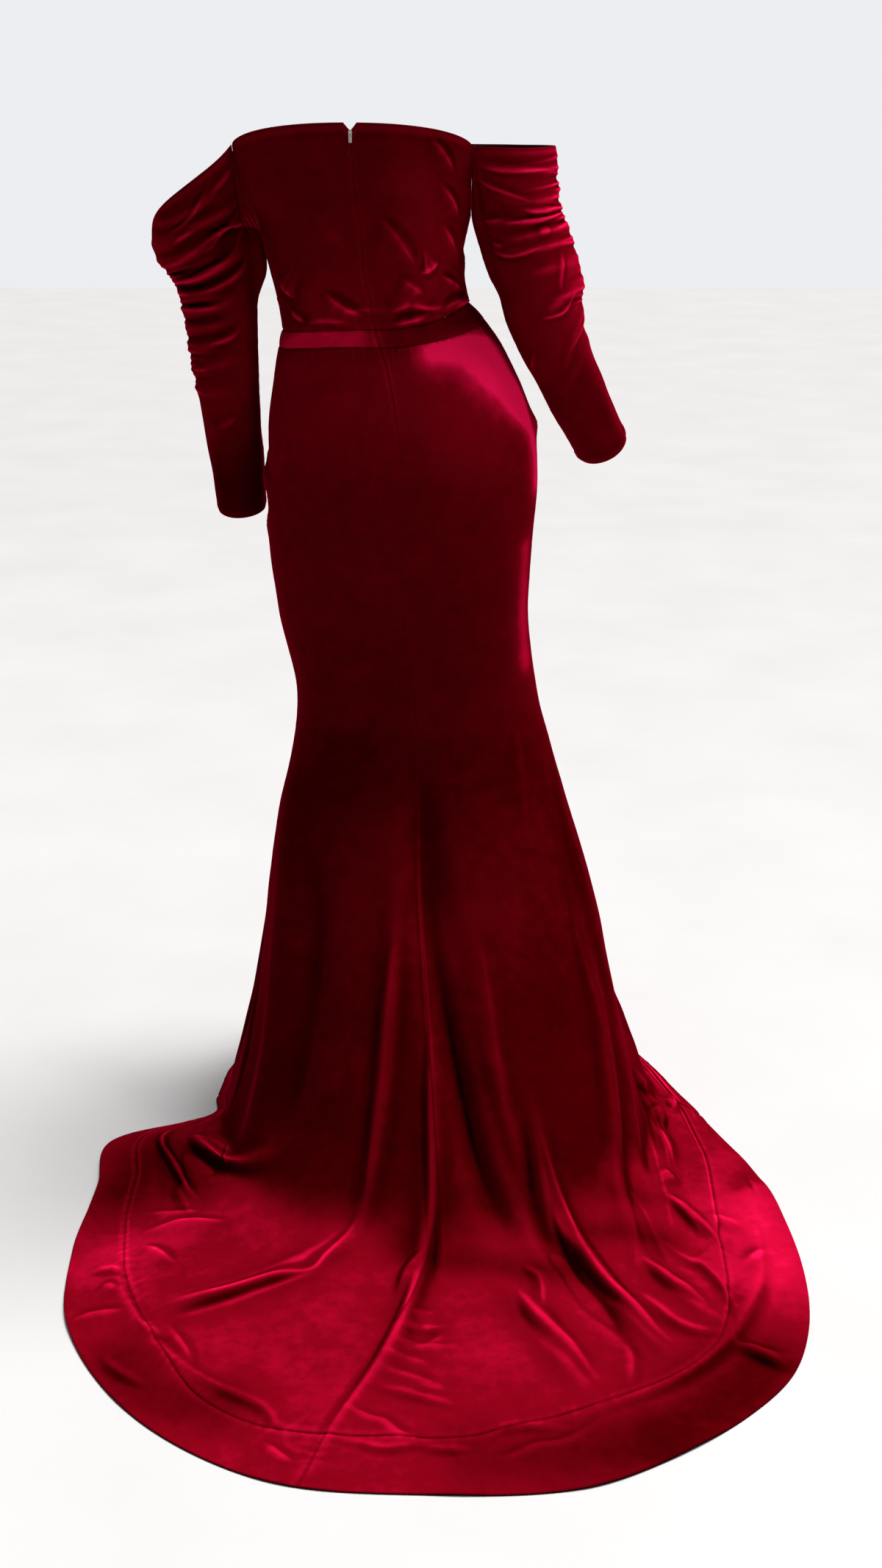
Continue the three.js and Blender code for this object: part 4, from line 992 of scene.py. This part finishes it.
class Nodes:
    """A node tree, and short calls that add to it. An input is a value or an output to link."""

    def __init__(self, owner):
        owner.use_nodes = True
        self.tree = owner.node_tree

    def feed(self, node, inputs):
        for name, value in inputs.items():
            if isinstance(value, bpy.types.NodeSocket):
                self.tree.links.new(value, node.inputs[name])
            else:
                node.inputs[name].default_value = value

    def add(self, kind, output, **inputs):
        node = self.tree.nodes.new("ShaderNode" + kind)
        self.feed(node, inputs)
        return node.outputs[output]

    def noise(self, place, scale, detail, roughness=0.5):
        return self.add("TexNoise", "Fac", Vector=place, Scale=scale, Detail=detail, Roughness=roughness)

    def ramp(self, value, *stops):
        """Maps a value through stops of place and colour."""
        colour = self.add("ValToRGB", "Color", Fac=value)
        elements = colour.node.color_ramp.elements
        while len(elements) < len(stops):
            elements.new(0.5)
        for element, (at, shade) in zip(elements, stops):
            element.position = at
            element.color = shade
        return colour

    def math(self, operation, a, b):
        value = self.add("Math", "Value")
        value.node.operation = operation
        self.feed(value.node, {0: a, 1: b})
        return value

    def bump(self, height, strength, distance, **below):
        return self.add("Bump", "Normal", Height=height, Strength=strength, Distance=distance, **below)


def grey(level):
    return (level, level, level, 1)


def new_material(name, paint):
    """A material. paint gives the shader's inputs, from its nodes and the object's coordinates."""
    material = bpy.data.materials.new(name)
    nodes = Nodes(material)
    shader = material.node_tree.nodes["Principled BSDF"]
    nodes.feed(shader, paint(nodes, nodes.add("TexCoord", "Object")))
    return material


def velvet(nodes, place):
    """The pile: the tone stored on the mesh, which holds painted highlight and painted shade, with broad and
    fine mottling, through the ramp.
    """
    patches = nodes.noise(place, 7, 4, 0.6)
    nap = nodes.noise(place, 46, 5, 0.65)
    pile = nodes.noise(place, 950, 3, 0.7)
    tone = nodes.add("Attribute", "Fac")
    tone.node.attribute_name = "tone"
    for value, amount in ((nap, NAP_LIFT * 2), (patches, PATCH_LIFT * 2)):
        lift = nodes.math("MULTIPLY", nodes.math("SUBTRACT", value, 0.5), amount)
        tone = nodes.math("ADD", tone, lift)
    return {
        "Base Color": nodes.ramp(tone, *VELVET_TONES),
        "Roughness": nodes.ramp(nap, (0.3, grey(0.6)), (0.7, grey(0.85))),
        "Specular IOR Level": 0.0,
        "Sheen Weight": 0.35,
        "Sheen Roughness": 0.3,
        "Sheen Tint": SHEEN_TINT,
        "Normal": nodes.bump(pile, 0.55, 0.0004, Normal=nodes.bump(nap, 0.25, 0.0022)),
    }


def backing(nodes, place):
    """The velvet's wrong side: a plain matt knit."""
    knit = nodes.add("TexWave", "Fac", Vector=place, Scale=420, Distortion=1.5)
    knit.node.bands_direction = "X"
    return {
        "Base Color": nodes.ramp(knit, (0, BACKING_DARK), (1, BACKING)),
        "Roughness": 0.9,
        "Specular IOR Level": 0.15,
        "Normal": nodes.bump(knit, 0.3, 0.0003),
    }


def metal(nodes, place):
    wear = nodes.noise(place, 700, 4)
    return {
        "Base Color": nodes.ramp(wear, (0.3, METAL_WORN), (0.7, METAL)),
        "Roughness": nodes.ramp(wear, (0.3, grey(0.22)), (0.7, grey(0.4))),
        "Metallic": 1,
        "Normal": nodes.bump(wear, 0.15, 0.0001),
    }


def floor_paint(nodes, place):
    return {
        "Base Color": nodes.ramp(nodes.noise(place, 3, 5), (0.3, FLOOR_DARK), (0.7, FLOOR_COLOUR)),
        "Roughness": 0.55,
        "Normal": nodes.bump(nodes.noise(place, 60, 3), 0.05, 0.002),
    }


CRIMSON = new_material("crimson_velvet", velvet)
WRONG_SIDE = new_material("velvet_backing", backing)
ZIP_METAL = new_material("zip_metal", metal)
PALE_FLOOR = new_material("pale_floor", floor_paint)

# ---- the cloth pieces ----


def spaced(*stretches):
    """Values over stretches of from, to and count of steps."""
    first = np.array([stretches[0][0]])
    return np.concatenate([first] + [np.linspace(a, b, count + 1)[1:] for a, b, count in stretches])


def creases_on(place, rows):
    return [(path_on(place, places), width, depth, lean) for width, depth, lean, *places in rows]


def sleeve_creases(name):
    place = sleeve_place(name)
    random = np.random.default_rng(SEED + len(name))
    rows = []
    for places in SLEEVE_CREASES[name]:
        width = SLEEVE_CREASE_WIDTH * random.uniform(0.8, 1.3)
        depth = SLEEVE_CREASE_DEPTH * random.uniform(0.7, 1.3)
        rows.append((path_on(place, places), width, depth, random.uniform(-0.3, 0.3)))
    return rows


ROLL_AWAY, ROLL_HALF, DIP_HALF = 8, 5, 3


def open_edge(away, roll, dip):
    """A free edge that is turned under: a soft roll beside it, and a dip at the edge."""
    return roll * bell((away - ROLL_AWAY) / ROLL_HALF) - dip * bell(away / DIP_HALF)


def on_edges(left=None, right=None, top=None, bottom=None, waves=(), open_top=0, fades=None):
    """Relief from the sewn edges: each is a seed, and None where the edge is free.
    fades gives a seam's strength, row by row or for all rows, for the seeds that it names.
    open_top is how much of the top edge's roll each column has."""
    def extra(grid, points):
        from_left, from_right, from_top, from_bottom = distances(grid)
        relief = np.zeros(grid.shape[:2])
        for seed, away, run in ((left, from_left, from_top[:1]), (right, from_right, from_top[-1:]),
                                (top, from_top, from_left[:, :1]), (bottom, from_bottom, from_left[:, -1:])):
            if seed is not None:
                relief += (fades or {}).get(seed, 1) * seam_relief(away, run, seed)
        for seed, wavelengths, amount in waves:
            relief += waviness(points, seed, wavelengths, amount).reshape(relief.shape)
        return relief + open_top * open_edge(from_top, 0.7, 0.9)
    return extra


TRAIN_START = 90        # height below which the cloth crumples more
TRAIN_SEAM_START = 12.5     # level from which the centre back seam shows again
TRAIN_CRUMPLE = (SEED + 40, (90, 230), 1.2)


def skirt_extra(waves, **seams):
    plain = on_edges(waves=waves, **seams)

    def extra(grid, points):
        low = smooth((TRAIN_START - grid[..., 2]) / TRAIN_START)
        return plain(grid, points) + low * waviness(points, *TRAIN_CRUMPLE).reshape(low.shape)
    return extra


ZIP_END = 2.0           # level where the zip in the centre back seam ends
SIDE_SEAM = 0.5         # strength of the side seams against the others
WAIST_PUCKERS = 0.35    # and of the skirt's edge under the waistband
# Seeds of the seams' puckers
SEAM_LEFT, SEAM_RIGHT, SEAM_BACK = 101, 102, 103
SEAM_WAIST_UP, SEAM_WAIST_DOWN, SEAM_HEM = 104, 105, 106
BAND_SEAM_LEFT, BAND_SEAM_RIGHT = 123, 121
SLEEVE_SEAM, ARMHOLE_SEAM = 131, 134
# Seed, shortest and longest wavelength, and height
BODY_WAVES = ((SEED, (120, 260), 0.5), (SEED + 1, (45, 90), 0.25))
SKIRT_WAVES = ((SEED + 2, (150, 320), 1.0), (SEED + 3, (60, 110), 0.3))
BAND_WAVES = ((SEED + 5, (30, 80), 0.35),)
BAND_GROOVE = 0.6       # depth and half width of the grooves along the waistband's edges
BAND_GROOVE_HALF = 2.2
BAND_STEPS = 12
QUICK_SHARE = 1


def steps(count):
    return 2 * max(1, round(count * QUICK_SHARE / 2))


def side_to_side(*stretches):
    """Angles in radians over stretches of from, to and full count of steps, in degrees."""
    return np.radians(spaced(*[(start, end, steps(count)) for start, end, count in stretches]))


def bodice_pieces():
    creases = creases_on(torso, BODICE_CREASES)
    rows = np.linspace(0, 1, steps(110) + 1)
    back_left = np.radians(spaced((0, 30, steps(30)), (30, 88, steps(66)), (88, 90, 4)))
    back_right = np.radians(spaced((90, 92, 4), (92, 150, steps(66)), (150, 180, steps(30))))
    front = side_to_side((180, 210, 30), (210, 330, 96), (330, 360, 30))
    plans = (
        ("bodice_back_left", back_left, SEAM_LEFT, SEAM_BACK, (0.20, 0.28), 0.046),
        ("bodice_back_right", back_right, SEAM_BACK, SEAM_RIGHT, (0.19, 0.28), 0.044),
        ("bodice_front", front, SEAM_RIGHT, SEAM_LEFT, (0.40, 0.25), 0.077),
    )
    fades = {SEAM_BACK: 0.3, SEAM_LEFT: SIDE_SEAM, SEAM_RIGHT: SIDE_SEAM, SEAM_WAIST_UP: 0.5}
    for node, columns, left, right, flat, area in plans:
        # the top edge is sewn to the sleeves at the sides, and free behind and in front
        free = smooth((np.abs(np.sin(columns)) - 0.5) / 0.15)[:, None]
        extra = on_edges(left, right, bottom=SEAM_WAIST_UP, waves=BODY_WAVES, open_top=free, fades=fades)
        cloth_piece(node, bodice, 1, columns, rows, creases, extra, flat, area, "stretched",
                    calm_top=12, calm_bottom=7, brushing_and_light=BRUSHED_AND_LIT_BODICE, place=torso)


def waistband_pieces():
    rows = np.linspace(BAND_INSET, 1 - BAND_INSET, BAND_STEPS + 1)
    seams = on_edges(BAND_SEAM_LEFT, BAND_SEAM_RIGHT, waves=BAND_WAVES)

    def extra(grid, points):
        _, _, from_top, from_bottom = distances(grid)
        near = np.minimum(from_top, from_bottom)
        return seams(grid, points) - BAND_GROOVE * bell(near / BAND_GROOVE_HALF)

    for node, start, end, count, width in (("waistband_back_left", 0, 90, 120, 0.19),
                                           ("waistband_back_right", 90, 180, 120, 0.19),
                                           ("waistband_front", 180, 360, 200, 0.36)):
        cloth_piece(node, waistband, 1, side_to_side((start, end, count)), rows, [], extra,
                    (width, 0.026), None, "stretched", brushing_and_light=BRUSHED_AND_LIT_BAND, place=torso)


def skirt_pieces():
    creases = creases_on(skirt_place, SKIRT_CREASES)
    back_rows = spaced((0, 6, steps(66)), (6, 11.5, steps(76)), (11.5, HEM_SEAM, steps(106)))
    front_rows = spaced((0, 7, steps(72)), (7, HEM_SEAM, steps(110)))
    band_rows = np.linspace(HEM_SEAM, HEM, steps(28) + 1)
    left = side_to_side((0, 30, 66), (30, 90, 186))
    right = side_to_side((90, 150, 200), (150, 180, 56))
    front = side_to_side((180, 360, 240))
    # each panel's name, columns, rows and seams, and the flat size and area of it and of its band
    plans = (
        ("back_left", left, back_rows, SEAM_LEFT, SEAM_BACK, (0.75, 1.85), 0.56, (1.00, 0.12), 0.064),
        ("back_right", right, back_rows, SEAM_BACK, SEAM_RIGHT, (0.80, 1.85), 0.60, (1.35, 0.18), 0.108),
        ("front", front, front_rows, SEAM_RIGHT, SEAM_LEFT, (1.00, 1.20), 0.69, (0.95, 0.13), 0.051),
    )
    for name, columns, rows, first, last, flat, area, band_flat, band_area in plans:
        # the centre back seam shows along the zip and on the train, and hardly between them
        on_zip = smooth((ZIP_END - rows) / 0.3)
        on_train = smooth((rows - TRAIN_SEAM_START) / 1.5)
        fades = {SEAM_BACK: 0.04 + 0.36 * on_zip + 0.4 * on_train, SEAM_LEFT: SIDE_SEAM,
                 SEAM_RIGHT: SIDE_SEAM, SEAM_WAIST_DOWN: WAIST_PUCKERS}
        extra = skirt_extra(SKIRT_WAVES, left=first, right=last, top=SEAM_WAIST_DOWN, bottom=SEAM_HEM,
                            fades=fades)
        cloth_piece("skirt_" + name, skirt, 1, columns, rows, creases, extra, flat, area, "hung",
                    calm_top=10, brushing_and_light=BRUSHED_AND_LIT_SKIRT, place=skirt_place)
        extra = skirt_extra(SKIRT_WAVES[:1], left=first, right=last, top=SEAM_HEM)
        cloth_piece("hem_band_" + name, skirt, 1, columns, band_rows, creases, extra, band_flat,
                    band_area, "hung", brushing_and_light=BRUSHED_AND_LIT_SKIRT, place=skirt_place)


RUCHED = {"left": (120, 330), "right": (20, 230)}   # where each sleeve is drawn up, from and to
SEWN_IN = -0.0025       # share of its length that a sleeve reaches past its armhole seam
OUTER_GROOVE = 1.8      # depth and half width of the groove along the ruched line
OUTER_GROOVE_HALF = 2.4
# Each gather's reach and drift round the sleeve in degrees, width and depth, each from and to
RUCHING_LIMITS = ((14, 42), (-7, 7), (2.0, 3.6), (1.2, 2.8))
RUCHING_SPACING = (7, 13)
RUCHING_FALL = 1.4
DRIFT_ANGLE = 60        # the angle over which a gather drifts by its full amount
SEWN_FROM = 140         # angles in degrees: the top edge is sewn to the armhole beyond this one,
FREE_TO = 120           # and has its full roll up to this one
SLEEVE_WAVES = (SEED + 70, (40, 110), 0.45)
SLEEVE_FLATS = {"left": ((0.24, 0.60), 0.080), "right": ((0.24, 0.58), 0.082)}


def ruching(name):
    """Small tight gathers that start on the sleeve's outer line and die out round it."""
    at, end = RUCHED[name]
    random = np.random.default_rng(SEED + 60 + len(name))
    rows = []
    while at < end:
        reach, drift, width, depth = [random.uniform(*limits) for limits in RUCHING_LIMITS]
        rows.append((at, reach, drift, width, depth))
        at += random.uniform(*RUCHING_SPACING)
    return rows


def sleeve_extra(name, u, rows, to_back, gathers):
    """A half sleeve's seams, ruching and open edges."""
    def extra(grid, points):
        from_first, from_last, from_top, from_bottom = distances(grid)
        to_outer, to_body = (from_first, from_last) if to_back else (from_last, from_first)
        psi, v = np.meshgrid(u, rows, indexing="ij")
        start, _ = sleeve_start(SLEEVES[name], ARMHOLES[name], psi)
        s = lerp(start, SLEEVES[name]["length"], v)
        away = np.abs(np.degrees(psi))
        relief = -OUTER_GROOVE * bell(to_outer / OUTER_GROOVE_HALF)
        for at, reach, drift, width, depth in gathers:
            crest = at + drift * away / DRIFT_ANGLE
            relief += depth * bell((s - crest) / width) * np.exp(-(away / reach) ** RUCHING_FALL)
        relief += seam_relief(to_body, from_top, SLEEVE_SEAM, groove=1.0, pucker=0.5)
        at_armhole = seam_relief(from_top, from_first, ARMHOLE_SEAM, groove=0.4, pucker=0.4)
        relief += np.where(away > SEWN_FROM, at_armhole, 0)
        free = 1 - smooth((away - FREE_TO) / (SEWN_FROM - FREE_TO))
        relief += free * open_edge(from_top, 0.6, 0.8)
        relief += open_edge(from_bottom, 0.6, 0.8)
        return relief + waviness(points, *SLEEVE_WAVES).reshape(relief.shape)
    return extra


def sleeve_pieces():
    rows = spaced((SEWN_IN, 0.62, steps(170)), (0.62, 1, steps(60)))
    back = side_to_side((0, 140, 60), (140, 180, 16))
    for name in ("left", "right"):
        creases = sleeve_creases(name)
        gathers = ruching(name)
        for half, u in (("back", back), ("front", -back[::-1])):
            extra = sleeve_extra(name, u, rows, half == "back", gathers)
            cloth_piece(f"sleeve_{name}_{half}", sleeve_surface(name), SLEEVES[name]["side"], u, rows,
                        creases, extra, *SLEEVE_FLATS[name], "gathered", floor=False, calm_top=8,
                        brushing_and_light=BRUSHED_AND_LIT_SLEEVES[name], place=sleeve_place(name))


bodice_pieces()
waistband_pieces()
skirt_pieces()
sleeve_pieces()

# ---- zip ----

for node in ("zip_slider", "zip_pull"):
    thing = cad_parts[node]
    if not thing.material_slots:
        thing.data.materials.append(ZIP_METAL)
    for slot in thing.material_slots:
        slot.material = ZIP_METAL

# ---- floor, light and render look ----

FLOOR_DROP = 0.0005     # how far the floor's face lies below height 0
AMBIENT = 0.15          # strength of the world as a light
BACKDROP = 0.88         # and as it shows behind the gown


def add_floor():
    bpy.ops.mesh.primitive_plane_add(size=24, location=(0, 0, -WAIST * MM - FLOOR_DROP))
    floor = bpy.context.object
    floor.name = "floor"
    floor.data.materials.append(PALE_FLOOR)


def add_light(name, kind, place, target, energy):
    """A light that shines from its place towards its target."""
    data = bpy.data.lights.new(name, kind)
    data.energy = energy
    light = bpy.data.objects.new(name, data)
    light.location = place
    light.rotation_euler = (Vector(target) - Vector(place)).to_track_quat("-Z", "Y").to_euler()
    bpy.context.scene.collection.objects.link(light)
    return data


def add_area(name, place, target, size, energy):
    data = add_light(name, "AREA", place, target, energy)
    data.shape = "RECTANGLE"
    data.size, data.size_y = size


def add_world():
    world = bpy.data.worlds.new("world")
    bpy.context.scene.world = world
    nodes = Nodes(world)
    # pale behind the gown, and dimmer as a source of light
    to_camera = nodes.add("LightPath", "Is Camera Ray")
    strength = nodes.add("MapRange", "Result", Value=to_camera, **{"To Min": AMBIENT, "To Max": BACKDROP})
    background = world.node_tree.nodes["Background"]
    nodes.feed(background, {"Color": (0.96, 0.97, 1.0, 1), "Strength": strength})


add_floor()
add_world()
add_light("sun", "SUN", (-0.75, -0.55, 2.4), (0, 0, 0), 5.2).angle = math.radians(30)
add_area("right_side", (-2.0, 0.9, 1.3), (-0.1, 0.05, -0.1), (0.4, 0.9), 13)
add_area("left_rim", (2.2, -1.0, 1.6), (0, 0.1, -0.2), (0.5, 1.2), 8)
bpy.context.scene.view_settings.view_transform = "Standard"
